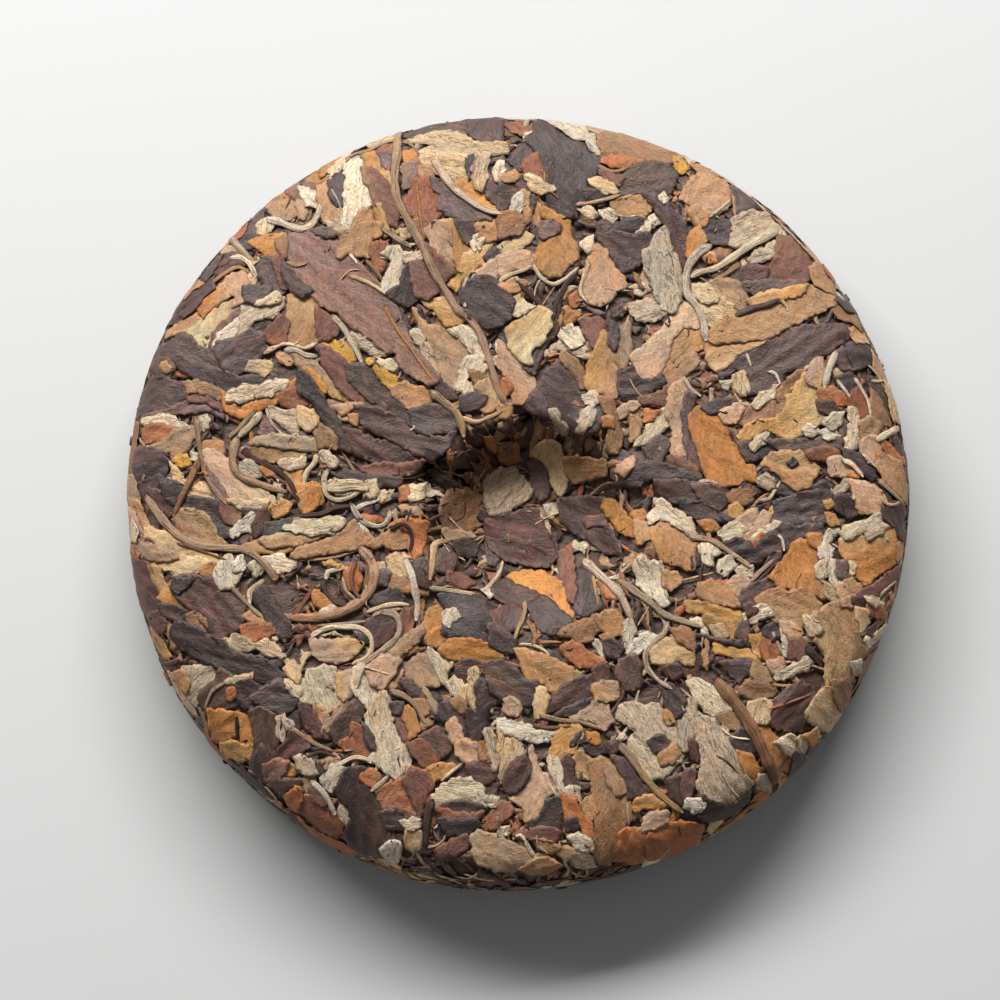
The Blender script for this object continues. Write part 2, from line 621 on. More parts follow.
    "right edge": """
brown 832,306 846,299 858,316 863,331 852,322 838,318
rose 872,350 881,362 889,380 897,402 890,397 882,381 874,366
umber 868,376 880,384 888,396 893,412 888,421 880,408 871,392
brown 871,391 880,400 885,416 891,425 878,425 869,410
sand 885,381 893,388 898,405 901,423 894,421 889,404
olive 858,424 870,417 881,424 877,437 864,441
rose 862,440 874,435 883,444 883,463 872,465 861,452
umber 895,437 904,449 909,460 908,481 901,467 896,452
rust 881,441 890,446 900,457 907,463 898,465 887,456
tan 879,451 890,458 901,464 905,476 909,492 909,504 896,493 884,479 877,466
orange 851,470 862,474 858,478 848,476
""",
    "left": """
tan 128,499 138,501 147,524 157,534 150,539 138,525 129,512
rose 127,507 134,512 142,530 155,542 150,549 136,535 127,524
maroon 146,489 160,491 172,506 179,512 168,517 155,504
slate 160,479 180,483 185,492 174,505 165,496
slate 183,509 190,497 206,499 219,503 227,516 233,526 235,537 218,539 210,524 204,514 192,510
olive 173,519 182,510 194,509 206,515 213,526 218,538 227,545 214,547 196,543 182,533 177,525
rosewood 219,499 235,501 241,512 237,525 228,523 221,512
sand 228,499 250,502 269,499 264,509 246,510
umber 240,510 256,510 262,515 250,518
ivory 238,524 246,517 254,513 259,522 255,533 244,531 238,535 233,539 231,530
maroon 260,511 269,507 269,526 262,533 255,537 253,524
slate 267,524 291,519 289,531 276,541 263,541
ochre 269,508 282,499 291,504 284,515 276,517
tan 243,546 262,539 290,543 301,548 280,553 256,553
tan 258,540 284,534 306,530 331,529 318,538 296,545 270,547
straw 284,528 300,519 320,519 336,517 347,522 338,529 318,535 300,533
slate 228,551 244,555 253,564 248,573 238,567 227,560
khaki 145,528 156,530 172,536 186,547 200,552 216,556 222,562 204,565 190,573 175,577 170,568 180,562
168,556 156,541 145,537
khaki 149,562 170,555 190,557 211,560 206,567 190,573 176,577 174,570 159,569
orange 197,571 206,564 215,566 217,577 206,577
taupe 123,548 136,541 150,545 168,549 179,558 160,561 140,557 127,557
ivory 129,532 134,521 139,530 136,541 129,541
rust 123,559 130,550 139,554 137,561 128,563
maroon 127,562 138,560 149,562 153,576 157,590 161,604 156,613 148,619 140,605 133,588 129,574
olive 149,566 158,567 163,580 169,592 164,599 155,584
amber 159,598 168,589 178,597 183,604 176,609 165,605
maroon 182,590 180,582 175,577 190,575 204,578 216,575 221,584 225,592 237,590 241,600 245,608 243,620
237,631 226,637 218,641 210,633 204,623 198,615 188,607 180,599 173,592
slate 171,588 176,580 188,579 195,577 186,588 178,593
ivory 215,568 226,557 231,555 233,566 241,572 237,581 231,589 222,589 217,581 215,574
ivory 232,562 242,557 245,568 236,573
cream 249,566 258,559 263,568 256,577
ivory 261,558 280,556 295,562 291,569 278,573 267,567
black 255,590 264,585 273,600 281,612 289,624 291,637 284,640 274,629 264,613 255,602
tan 243,616 252,611 261,618 265,627 254,623
rust 239,628 254,623 268,623 275,632 262,639 250,641 243,637
sand 223,640 236,635 246,640 259,646 250,649 240,653 233,650
greige 257,644 268,639 277,648 286,657 274,657 263,652
tan 149,627 156,631 163,644 171,657 164,659 157,650 151,640
maroon 147,616 160,611 167,622 163,633 154,629
umber 159,604 176,606 189,612 176,621 165,616
brown 185,616 198,613 207,622 205,633 192,629
""",
    "dimple left": """
orange 299,492 312,485 319,494 319,503 311,511 304,513 299,506
cream 327,486 340,481 354,481 365,485 367,491 352,493 340,495 329,491
rust 361,516 376,517 383,520 370,523
tan 291,557 300,547 318,543 334,539 346,529 354,520 359,528 366,533 373,538 361,547 340,551 318,555
300,558
tan 367,546 380,536 390,530 400,527 409,534 411,543 402,549 390,549 385,543 376,548
rust 391,524 404,519 418,521 427,523 425,540 421,551 416,561 409,549 412,534 400,527
sand 387,558 396,553 405,562 413,568 411,577 400,579 391,573
sand 375,566 384,563 387,570 378,573
tan 383,580 396,577 410,581 425,588 429,595 414,593 398,591 387,587
umber 415,561 424,559 429,576 429,589 420,587 415,574
rust 345,572 356,565 361,580 357,593 350,589
orange 315,591 326,597 339,606 326,611 313,604
ivory 319,614 330,605 337,608 330,613
black 371,601 384,592 396,589 405,598 396,605 378,609
mauve 371,574 384,569 391,574 385,585 373,585
maroon 365,622 380,613 392,617 397,628 387,643 374,647 369,634
rosewood 403,609 413,611 411,627 402,637 397,630
rose 309,640 328,641 348,639 363,643 355,655 340,663 324,661 313,653
black 355,632 368,634 371,644 362,642
orange 419,632 427,618 430,609 438,605 443,614 441,627 432,635
orange 427,634 440,627 445,640 436,647 427,642
taupe 421,627 425,634 413,645 399,657 385,671 373,686 363,686 361,672 372,660 388,648 404,636
cream 429,648 440,655 451,662 447,672 445,686 438,677 429,662
taupe 405,668 416,656 424,653 432,668 439,686 420,686 409,681
slate 439,595 460,591 476,597 490,605 497,612 493,622 502,630 502,647 486,643 470,639 452,637 441,631
450,616 443,604
ivory 443,618 448,611 456,609 461,616 452,620 450,627 445,625
orange 439,650 452,639 466,639 480,641 494,647 503,658 494,667 480,665 464,657 448,659
brown 443,500 452,491 466,489 480,497 489,504 487,518 478,527 466,535 452,537 443,527 441,512
rose 443,530 460,531 475,536 462,541 447,539
black 477,518 482,512 492,511 495,516 484,521
mauve 433,552 448,547 457,560 452,573 439,571
slate 450,543 466,540 478,546 474,556 458,554
rosewood 449,572 464,575 475,584 462,587 447,581
ivory 483,590 490,587 495,594 490,597
rosewood 491,612 503,607 503,627 494,623
maroon 455,664 470,659 490,665 502,663 502,686 459,686
""",
    "dimple right": """
greige 483,480 500,467 514,469 529,484 531,494 518,505 502,513 490,517 485,500
maroon 485,520 510,513 536,509 543,524 549,540 557,556 548,567 528,565 506,561 489,548
ivory 546,506 552,504 557,512 553,518 547,513
plum 559,500 580,497 604,499 611,512 605,524 617,540 623,553 606,553 590,541 574,533 561,520
mauve 583,520 604,515 607,524 590,527
orange 605,499 614,501 620,510 630,518 637,524 635,535 626,535 616,525 607,514
orange 631,514 642,509 649,516 640,521
tan 635,520 648,523 655,530 646,541 638,545 635,532
tan 651,532 662,521 674,519 684,527 694,540 694,570 680,567 664,561 655,548
ivory 655,499 664,501 672,509 684,515 694,524 694,541 684,531 672,523 660,517 649,523 649,514 656,508
ivory 637,560 642,555 650,561 660,563 665,574 665,590 669,602 664,608 657,599 650,597 643,589 637,580
635,570
tan 664,570 676,573 681,582 670,591 664,586
rust 599,579 612,587 619,598 610,599 601,590
rosewood 561,552 570,545 573,566 575,580 579,590 577,601 568,601 561,590 559,570
slate 579,569 590,573 595,590 601,606 592,613 582,617 575,608 579,592
orange 505,580 516,573 528,571 544,573 561,584 563,592 567,604 573,617 566,617 556,607 548,597 536,595
520,589
plum 491,588 506,581 524,589 541,596 530,605 516,607 499,600
slate 529,606 540,597 550,601 560,611 571,620 567,631 552,635 540,629 533,618
maroon 499,611 514,605 523,610 521,625 510,631 499,624
slate 489,624 504,629 515,640 513,653 500,651 489,644
brown 559,634 572,625 586,619 597,617 599,630 590,641 578,641 568,637
tan 595,618 606,611 616,611 623,622 623,635 610,635 602,629
rust 561,646 572,641 582,647 592,655 606,662 596,667 580,667 569,659
straw 595,639 602,645 605,659 598,653
amber 601,636 608,634 613,638 606,641
tan 515,649 530,651 544,655 556,661 568,667 580,676 573,692 548,692 546,681 536,685 528,679 521,664
maroon 593,668 604,663 609,676 604,687 595,681
ivory 625,624 632,619 635,632 630,640 634,644 628,651 623,640
ivory 633,641 644,633 659,636 650,644 640,651 634,658 627,653
khaki 649,650 664,639 680,639 694,648 694,665 676,661 664,665 653,661
maroon 663,668 676,663 683,674 674,681
brown 671,630 684,627 694,634 694,651 682,643
umber 619,660 634,655 641,664 641,685 628,692 617,676
black 604,641 616,640 623,650 616,659 607,655
""",
    "top left": """
heather 286,240 300,230 320,231 340,239 352,257 366,271 384,290 394,305 403,322 409,340 421,356 433,368
439,379 430,386 418,379 400,367 396,351 386,353 370,337 352,327 338,313 322,305 313,296 300,283 286,270
291,262 284,252
black 297,177 306,168 320,162 331,160 343,152 336,159 320,167 309,173
amber 306,176 318,168 330,168 329,178 312,183 304,182
rosewood 301,182 320,184 327,196 320,199 310,190
slate 273,190 284,184 291,188 284,197 275,197
maroon 255,202 264,197 275,194 269,206 269,213 256,210
tan 267,200 280,195 286,190 293,196 299,206 299,214 288,220 275,219 267,208
brown 285,184 296,181 301,190 299,204 294,198 287,192
rose 297,200 306,202 305,218 299,218
ivory 299,186 308,189 317,196 321,203 316,207 308,205 303,196
mauve 243,224 252,211 263,211 263,220 259,226 258,237 248,237 243,232
cream 259,222 268,219 273,226 267,232 262,239 257,234
slate 237,240 250,235 262,237 271,235 262,241 248,249 239,244
amber 249,243 260,238 272,235 285,233 283,244 276,257 268,259 261,250
brown 277,240 286,235 287,250 284,259 279,252
rose 221,250 228,239 236,245 245,252 236,255 225,255
rust 231,229 240,221 247,224 243,234 236,239
ivory 237,220 244,215 249,220 242,225
black 221,256 236,253 233,260 222,265 215,265
maroon 213,270 224,261 236,261 245,264 230,271 219,277
sand 243,276 256,273 255,284 246,287
rose 217,287 230,276 244,271 249,286 245,301 232,307 236,296
orange 197,308 204,298 216,288 226,290 229,296 214,306 204,317
maroon 179,301 196,292 206,284 213,279 215,288 204,297 196,309 185,318 178,313
tan 181,297 190,286 200,279 203,284 192,290 186,299
umber 201,277 212,261 223,255 216,268 206,281
plum 257,262 268,257 275,262 277,278 283,292 276,301 266,285 259,276
rosewood 273,258 282,255 287,270 293,284 284,289 277,276
plum 283,262 294,275 306,287 314,291 300,297 289,287 283,274
slate 243,286 256,287 271,287 268,295 258,305 247,301 243,294
cream 257,305 270,296 276,291 281,300 270,305
""",
    "top": """
orange 321,166 334,156 344,149 351,147 342,158 332,169 321,177
cream 331,179 329,170 340,159 350,147 355,145 348,157 340,169
sand 367,144 380,137 392,130 401,130 394,137 382,143 371,147
russet 359,153 376,146 395,143 395,153 376,153 363,155
tan 319,186 330,179 333,196 337,206 345,210 343,222 334,227 325,222 319,208
black 329,182 336,175 347,173 347,190 347,205 338,206 331,198
ivory 345,164 354,159 362,161 364,172 367,184 371,194 371,202 363,212 355,222 348,232 341,232 344,216
345,196 346,180
greige 325,222 338,223 347,230 338,233
umber 311,231 326,228 339,234 326,237
amber 363,156 372,151 384,165 391,176 393,189 384,181 376,173 367,166
mauve 379,154 393,152 393,164 386,169
rosewood 361,168 374,171 386,181 395,194 397,212 398,227 386,223 379,208 371,192 365,180
amber 373,204 380,205 385,220 389,232 384,237 379,222
tan 337,257 341,246 339,234 352,229 356,218 364,209 371,212 373,222 381,224 381,234 371,240 370,257
358,256 350,253 340,259
russet 371,244 380,241 393,250 387,260 380,273 373,264
ivory 383,253 394,245 401,250 403,262 405,274 401,285 392,289 386,293 381,290 385,276 391,266 391,258
ivory 403,252 414,255 424,249 425,256 414,265 405,262
black 387,293 400,286 404,270 410,263 413,278 413,290 421,296 410,305 397,303
rosewood 411,262 420,261 431,272 439,292 426,299 417,297 413,280
sand 397,232 406,229 411,234 404,239
plum 405,135 420,127 440,123 460,121 471,119 469,133 450,133 430,135 412,137
maroon 469,120 484,119 502,115 502,143 484,143 473,137 469,130
straw 405,141 420,135 436,133 450,131 462,135 472,141 486,144 506,143 508,153 490,155 472,155 456,153
440,151 434,143 420,143
orange 403,152 412,149 421,155 419,163 405,162
heather 403,164 414,161 421,164 421,178 412,183 403,189
sand 421,152 432,147 440,151 456,153 469,155 469,177 460,181 450,179 440,175 430,167 421,164
tan 419,166 430,167 433,179 422,179 419,174
russet 403,200 413,190 413,181 424,177 433,184 441,196 441,212 435,221 428,229 424,239 417,235 411,220
405,210
mauve 431,178 444,185 456,195 468,205 484,213 492,219 470,221 450,217 439,208 441,194 433,186
amber 455,184 464,179 474,187 484,197 496,203 506,206 502,211 488,207 474,203 461,192
plum 485,184 500,177 509,190 500,205 487,197
slate 467,158 477,157 475,172 469,181
greige 473,168 479,155 491,153 487,166 485,180 482,191 475,188
ivory 495,166 504,161 504,181 494,181
rose 425,232 432,223 444,220 453,221 455,236 455,252 459,267 450,267 441,256 433,246
amber 454,225 463,240 469,248 477,258 466,269 457,271 455,256
ochre 465,254 480,249 491,245 485,260 470,273 462,281 456,291 449,284 459,270
plum 455,221 472,221 477,234 470,245 463,240
tan 475,226 488,223 504,221 503,237 490,241 479,237
ivory 471,242 477,235 475,251
ivory 477,243 485,237 479,251
slate 483,257 500,245 504,256 490,263
rose 469,281 480,269 492,261 503,255 506,273 490,281 480,277
slate 461,300 463,286 476,277 490,277 505,286 513,300 509,321 488,329 469,316
rosewood 423,242 434,251 446,263 455,272 444,281 435,273 427,256
""",
    "top middle": """
russet 507,124 520,125 539,127 541,134 524,135 511,132
ivory 523,134 534,132 537,138 525,139
plum 511,161 519,146 532,141 537,152 528,167 517,171
black 533,118 548,119 560,127 574,135 585,143 593,154 604,158 598,169 592,177 586,181 588,197 578,206
577,217 562,217 551,209 547,196 545,184 543,172 539,158 533,146 525,140 535,132
ivory 535,113 548,111 562,117 576,121 587,123 593,131 599,144 608,157 600,155 591,149 585,141 575,139
565,133 555,125 543,119
rose 587,124 600,120 616,123 636,131 656,139 678,150 672,153 655,147 640,141 620,135 604,133 591,130
brown 597,134 620,133 642,139 660,147 677,153 677,161 660,163 640,161 620,159 605,157 599,146
rust 603,158 624,157 643,161 640,167 616,167 601,162
rose 675,149 690,153 702,159 720,169 737,178 724,181 706,173 692,165 679,160
ivory 683,156 694,154 701,160 690,163
yellow 673,156 680,157 689,168 682,173 675,166
umber 615,187 626,173 636,165 652,163 668,165 677,172 675,184 668,193 652,195 640,193 626,197 617,192
rosewood 599,170 612,175 625,178 618,185 605,182
black 583,189 598,191 616,193 624,196 600,201 587,199
khaki 589,180 600,179 612,185 619,192 606,193 595,188
tan 611,202 626,197 640,197 651,202 649,212 640,221 628,221 617,215 611,206
cream 579,210 590,207 597,216 592,220 583,214
ivory 599,210 608,209 617,218 612,223 603,216
black 611,229 622,220 636,219 653,222 640,233 622,235 611,232
ivory 645,225 652,215 660,213 663,220 654,227
cream 635,235 642,227 653,225 646,235 640,237
plum 597,226 606,219 614,232 632,235 646,233 653,240 651,250 645,256 641,264 632,269 624,273 615,262
607,250 599,240
maroon 643,193 656,195 664,201 672,209 683,220 687,236 689,256 685,269 678,269 671,254 667,244 667,230
661,218 651,204
ivory 659,196 664,192 669,197 664,204
greige 664,228 669,240 673,254 681,270 683,284 681,300 672,313 662,309 655,292 649,278 643,262 643,251
651,249 653,238
tan 531,206 540,205 545,214 538,225 529,220
amber 542,207 552,211 562,217 569,222 571,236 577,248 577,260 567,267 560,275 548,277 539,268 535,258
539,246 543,238 555,234 559,226 551,221 541,217
mauve 539,224 552,221 561,226 554,235 541,239 539,232
rose 598,245 605,250 609,260 615,270 625,278 625,286 616,291 610,301 600,305 590,303 581,290 583,276
587,262 591,252
ivory 583,240 592,237 593,246 588,253 581,246
rust 569,296 576,291 579,304 572,307
khaki 499,247 512,235 524,231 533,236 526,245 512,253 503,255
rose 499,259 516,251 530,253 537,258 532,267 516,269 501,279
tan 499,285 514,279 527,282 520,291 505,291
plum 499,184 520,179 531,188 535,204 528,217 525,200 518,192 508,207 499,213
tan 521,190 529,193 527,206 531,216 524,227 517,231 519,210
ivory 515,196 522,193 523,204 518,214 514,229 509,231 511,212
russet 521,167 530,157 537,153 541,166 545,176 547,185 538,183 527,175
sand 525,176 536,177 546,185 555,190 544,194 531,190
tan 501,177 514,171 519,178 508,183
brown 499,214 512,211 529,220 520,233 508,235 499,241
""",
    "top right": """
tan 691,164 706,167 724,176 712,177 700,173
tan 683,190 692,179 700,173 712,175 724,181 731,186 732,198 728,207 720,211 714,219 708,217 700,209
690,205 681,198
plum 731,186 740,187 748,193 757,204 750,211 740,209 733,200
slate 733,210 750,205 753,214 737,217
slate 699,230 704,219 714,217 722,219 735,222 733,234 728,245 716,243 703,241
tan 689,210 698,205 705,216 707,222 700,229 695,222
orange 691,232 700,227 705,240 700,253 689,257 687,244
greige 733,218 748,213 764,213 778,219 781,230 770,237 756,241 742,247 729,244 733,232
greige 749,259 762,249 777,241 779,254 766,259 753,265
ivory 779,231 784,230 788,237 782,239
rosewood 777,236 790,237 801,244 813,256 822,264 812,273 808,281 792,281 772,285 761,280 771,266 777,252
rose 805,240 820,255 832,271 841,288 834,287 821,268 809,252
maroon 731,274 742,267 754,265 767,268 767,278 752,285 737,285
mauve 741,284 762,281 784,281 806,281 800,291 780,295 756,295 745,290
olive 705,284 720,279 737,281 743,292 749,302 742,311 729,303 717,294
sand 699,304 712,299 722,297 731,306 737,318 728,327 716,329 705,322 701,312
khaki 693,284 706,285 714,291 719,300 704,303 695,296
tan 705,337 726,317 748,311 768,301 790,297 806,287 820,287 835,298 837,304 820,311 800,321 780,331
764,339 742,341 716,343
ochre 747,300 764,293 788,289 808,285 800,295 776,301 755,307
tan 809,268 818,263 829,268 833,280 837,295 826,291 815,285
rust 823,264 832,269 835,283 828,275
slate 835,300 848,297 858,313 846,311
orange 703,256 712,253 717,262 706,263
""",
    "right": """
slate 779,523 800,527 821,523 823,535 806,537 790,549 788,557 783,546 775,534
cream 719,532 724,527 736,523 747,530 740,537 728,541 721,537
rose 743,538 756,524 764,511 771,516 764,529 752,543 745,547
cream 752,540 760,531 772,524 781,522 770,532 760,541
rust 743,545 756,540 762,534 771,536 756,547
black 723,544 736,538 748,543 752,551 764,538 774,531 781,540 783,549 772,553 762,561 750,563 738,557
727,551
ivory 699,546 706,541 714,545 719,552 712,559 713,565 706,563 703,554
cream 719,560 730,557 735,566 728,575 719,571
ivory 737,570 744,563 752,565 753,574 744,579 739,575
rose 725,584 740,575 751,580 749,593 738,599 731,595
mauve 770,556 780,551 781,558 770,569 760,579 751,585 755,576 766,566
plum 743,605 737,600 744,591 756,583 768,577 777,584 762,591 756,601 748,607
orange 769,576 782,562 790,552 792,545 800,539 808,541 820,547 825,552 825,560 816,568 820,580 827,590
825,599 808,593 790,589 779,585
orange 805,536 820,533 823,542 820,549 812,545
ivory 823,538 830,531 836,527 839,532 830,541
ivory 819,548 824,541 830,546 833,556 828,563 821,556
ivory 831,559 836,562 838,574 843,580 839,593 834,587 829,574
cream 815,566 824,561 827,572 822,581 817,577
sand 825,584 834,590 839,599 832,601 825,594
olive 755,598 768,591 778,589 788,592 800,589 812,595 821,604 819,615 806,623 800,631 790,623 776,621
761,610
ivory 741,616 750,611 758,605 764,605 773,615 758,619 752,623 743,621
maroon 743,605 752,603 757,610 748,617
tan 699,584 712,581 724,587 734,597 741,607 724,605 708,601 697,594
ochre 685,601 704,603 722,609 741,616 741,623 722,619 702,613 687,611
ochre 703,615 722,619 741,621 741,635 728,639 716,633 705,622
sand 711,626 722,625 729,637 716,639
mauve 739,624 748,621 749,634 744,641 735,636
amber 749,635 760,635 765,650 763,661 756,655
ochre 715,641 730,643 748,649 762,658 750,659 730,655 715,653
slate 703,635 724,641 744,641 749,647 730,645
plum 719,662 744,659 759,664 752,673 740,681 731,674
olive 755,661 766,669 771,681 760,685 751,676
slate 765,630 772,623 781,625 779,634 772,641 767,638
ivory 781,629 787,633 790,646 789,657 783,655 784,642
rose 781,621 796,625 803,634 794,639 783,632
rosewood 789,639 804,639 809,652 800,661 789,657
rust 763,637 776,649 781,661 772,665 761,652
rose 767,661 782,659 785,671 772,673
cream 775,677 788,667 800,663 810,656 815,660 808,669 796,673 784,681
olive 819,611 832,603 842,601 855,607 859,622 861,640 867,650 861,660 865,668 852,681 840,686 826,686
826,664 824,650 814,640 806,630 811,613
greige 803,615 816,617 821,633 809,635
""",
    "lower left": """
rose 167,672 176,675 179,690 186,699 193,706 197,718 190,713 180,701 172,687
greige 183,668 200,666 214,667 225,676 223,683 212,683 206,691 202,699 196,707 190,701 185,690 189,684
tan 175,673 184,669 190,684 186,693 177,686
soot 172,628 178,621 198,628 210,636 224,642 232,650 244,656 258,656 272,664 286,678 270,684 250,680
230,676 212,665 196,657 180,647 171,636
umber 221,668 236,679 250,677 251,683 237,685 241,701 232,709 214,711 203,707 199,698 208,684 216,680
rust 227,690 234,687 237,697 230,701
khaki 225,682 236,677 251,674 251,681 236,684
soot 237,684 250,679 262,690 276,679 286,681 293,695 301,704 299,720 298,733 284,723 270,715 256,709
244,707 240,700
slate 250,698 262,690 280,679 291,690 299,705 282,715 262,707
orange 209,709 224,711 237,714 235,726 235,737 222,742 207,743 209,730 209,718
orange 237,713 246,717 255,726 255,741 248,747 240,745 240,728
ochre 221,744 234,741 246,747 255,744 251,757 242,761 228,759 219,752
rust 203,729 212,743 222,755 231,765 224,762 211,749
umber 249,712 262,707 272,713 281,722 277,740 273,756 264,775 252,765 256,750 254,732
slate 251,764 262,744 269,760 265,777 255,777
greige 277,717 284,715 287,728 282,741 277,732
greige 286,719 292,721 293,731 286,729
maroon 273,756 284,744 292,731 304,739 309,746 296,757 284,763 271,767
orange 281,772 290,765 297,770 293,777 283,777
greige 295,758 304,755 312,763 317,773 306,775 298,767
heather 265,764 276,759 291,762 281,777 267,781
umber 267,784 282,779 301,779 297,791 280,791
cream 305,680 308,671 324,665 334,669 337,684 337,696 341,704 330,713 326,709 316,705 303,702 299,690
cream 285,679 294,683 303,690 300,697 291,693
tan 315,706 326,711 323,723 317,719
taupe 325,713 340,705 347,699 341,716 330,731 323,735 325,722
rose 336,675 350,671 361,676 357,691 344,701 338,693
khaki 287,659 296,663 301,676 299,683 290,677 285,668
maroon 299,703 308,705 318,721 327,739 316,737 305,725
umber 340,716 352,703 360,699 367,704 359,721 346,739 336,743 329,733
russet 353,723 362,727 368,739 375,757 362,761 350,753 339,745 350,736
ivory 325,776 330,767 340,763 345,768 337,783 332,793 325,787 321,778
russet 298,800 306,795 318,799 328,807 339,816 343,833 334,835 322,831 308,821 298,809
rust 285,796 294,789 301,787 302,800 296,813 289,807
rosewood 309,787 320,793 327,807 314,801
rust 299,817 316,833 334,841 350,849 364,853 340,853 322,845 305,829
cream 341,805 350,813 353,820 346,825 339,814
soot 342,776 352,767 362,767 373,776 379,796 379,810 387,826 391,842 385,857 368,859 352,849 344,833
352,821 350,810 342,801 337,790
cream 261,787 268,791 277,801 270,801
rose 249,771 256,777 263,787 254,783
black 229,761 244,769 260,785 273,799 262,795 245,781
""",
    "bottom": """
ivory 355,668 364,663 370,676 377,684 381,691 374,701 373,713 366,707 357,694 351,684
rose 365,671 382,655 401,660 392,677 382,689 373,686
ivory 382,691 393,703 393,716 390,723 400,729 405,744 409,758 411,767 400,775 396,779 388,773 378,765
369,761 374,746 369,736 365,726 370,709 376,697
slate 363,723 372,735 375,749 367,745
rosewood 397,715 404,711 409,724 409,743 402,739 397,726
amber 401,709 408,705 415,716 419,730 410,739 406,724
slate 391,703 403,702 401,713 393,713
taupe 424,687 432,698 438,704 441,712 435,714 430,706
umber 399,679 412,682 424,696 420,702 408,692
tan 415,699 424,699 429,712 422,717
umber 419,736 436,727 447,736 451,748 440,759 430,751
russet 407,744 420,739 430,747 439,758 432,769 422,765 413,754
amber 429,768 440,763 455,766 446,777 433,781
slate 439,705 452,699 462,711 467,720 467,740 473,745 462,741 450,725 439,716
ivory 445,684 454,677 463,684 461,697 452,693
khaki 459,688 470,683 475,692 467,700 464,713 459,706
sand 469,669 479,669 479,700 474,713 469,700
brown 451,703 460,711 467,717 465,704 456,695
black 477,681 500,679 503,700 490,705 487,720 485,737 472,745 468,724 465,710 477,712
rose 447,724 454,718 461,728 463,741 456,745 449,736
rose 456,743 466,739 477,746 477,761 468,763 457,754
orange 479,743 486,739 491,752 489,765 481,758
maroon 467,763 488,761 497,776 484,785 471,778
greige 483,733 490,729 496,739 501,748 499,764 494,773 491,756 487,744
sand 499,729 508,731 521,744 523,757 512,763 506,777 501,782 499,760 499,744
ivory 497,719 504,721 518,723 536,729 544,731 557,732 548,741 534,741 520,739 508,733 499,731
umber 485,663 500,661 514,667 522,679 537,681 541,700 528,707 516,701 504,701 491,690
rose 503,700 514,697 521,708 516,717 505,712
cream 431,805 427,801 436,793 444,783 456,779 470,779 481,786 485,797 499,797 495,805 484,807 470,801
456,801 444,805
umber 443,804 456,801 470,801 487,809 476,813 460,813 445,811
russet 435,807 450,811 470,815 485,810 478,819 460,821 443,817
soot 439,819 456,820 476,818 481,826 464,835 447,835
rust 377,792 384,785 394,783 404,777 412,767 425,771 433,784 429,796 425,811 420,819 408,813 394,809
383,807 379,798
rosewood 402,782 412,769 426,774 432,786 424,801 420,817 413,800
rust 361,776 370,769 381,776 374,787 365,783
slate 379,811 394,811 410,815 421,820 414,827 400,829 387,827
khaki 407,831 414,827 420,831 421,846 414,853 407,847 405,838
ivory 381,848 390,841 399,842 401,852 396,863 387,859
greige 401,821 412,819 423,822 416,829 405,827
rosewood 435,851 450,841 466,835 473,840 460,853 443,859
taupe 471,838 478,831 490,833 504,839 520,847 533,858 531,867 512,871 494,869 479,863 473,850
russet 487,820 496,805 504,801 513,808 506,819 494,829 485,829
ivory 499,829 508,827 507,835 499,835
rose 509,796 522,791 528,781 532,768 530,752 532,746 536,761 540,773 553,775 557,790 548,797 542,807
538,815 530,825 525,818 524,808 517,802
maroon 503,781 512,763 524,755 531,764 526,781 516,793 507,793
""",
    "bottom middle": """
maroon 547,700 560,689 572,681 590,675 595,690 597,699 580,703 560,707 545,715 543,706
black 555,715 572,705 590,699 598,702 582,711 566,717
khaki 537,689 544,687 549,698 544,713 535,721 535,704
rose 571,717 584,711 598,699 607,706 613,721 604,729 592,721 580,719
taupe 593,686 602,681 616,683 619,697 606,701 595,699
ochre 551,748 556,735 566,727 578,725 583,734 576,745 572,753 562,759 549,757
black 571,745 576,735 584,731 589,738 582,743
black 585,743 600,743 607,752 596,757 587,751
orange 587,731 598,735 601,745 590,743
tan 571,760 580,751 590,759 597,768 593,779 580,777 571,770
maroon 557,768 566,757 573,760 573,778 580,783 593,786 584,791 570,789 559,780
ivory 547,757 556,757 561,772 563,787 572,787 578,789 581,799 570,801 559,797 557,784 551,770
brown 589,763 600,757 610,761 620,767 629,778 631,784 629,800 631,818 625,827 619,841 617,861 600,863
591,851 595,832 597,812 593,796 593,780
tan 606,763 620,771 629,783 627,793 616,795 607,782
tan 581,802 592,795 597,812 592,821 583,812
rust 561,793 576,799 579,812 587,817 593,830 591,845 576,841 565,833 561,812
soot 565,819 576,819 579,829 567,831
ivory 569,837 578,833 591,841 591,851 580,851
greige 571,856 582,851 592,857 597,867 584,869 573,865
tan 557,850 568,845 575,854 566,861
black 539,817 548,799 559,797 561,816 561,831 548,829 529,829 527,824
rosewood 513,834 530,829 548,827 561,831 556,841 540,839 521,839
tan 533,839 548,841 561,846 552,853 539,849
olive 519,869 536,859 548,857 561,866 548,873 530,873
rust 619,846 619,834 628,827 636,831 644,827 649,838 649,857 640,863 628,863 619,857
rust 647,836 656,825 668,823 690,823 703,825 701,838 694,847 680,855 664,859 648,861
greige 617,710 626,703 644,705 658,705 665,714 665,724 670,729 680,721 685,730 687,744 681,758 668,775
656,779 646,779 639,768 631,756 629,744 635,732 627,724 617,718
black 649,742 656,735 664,737 671,744 664,753 653,751
tan 668,749 676,741 681,752 672,763 661,765 659,756
ivory 618,737 624,733 626,737 620,740
maroon 607,744 615,741 618,750 610,754
plum 611,755 622,759 632,769 640,783 651,793 640,799 629,797 627,780 619,768
amber 633,802 644,795 656,797 669,806 660,809 644,809 635,811
rose 645,818 654,811 669,813 667,823 652,829 643,831
umber 667,779 684,777 691,792 684,805 671,797
mauve 685,771 694,769 695,786 686,801 681,790
""",
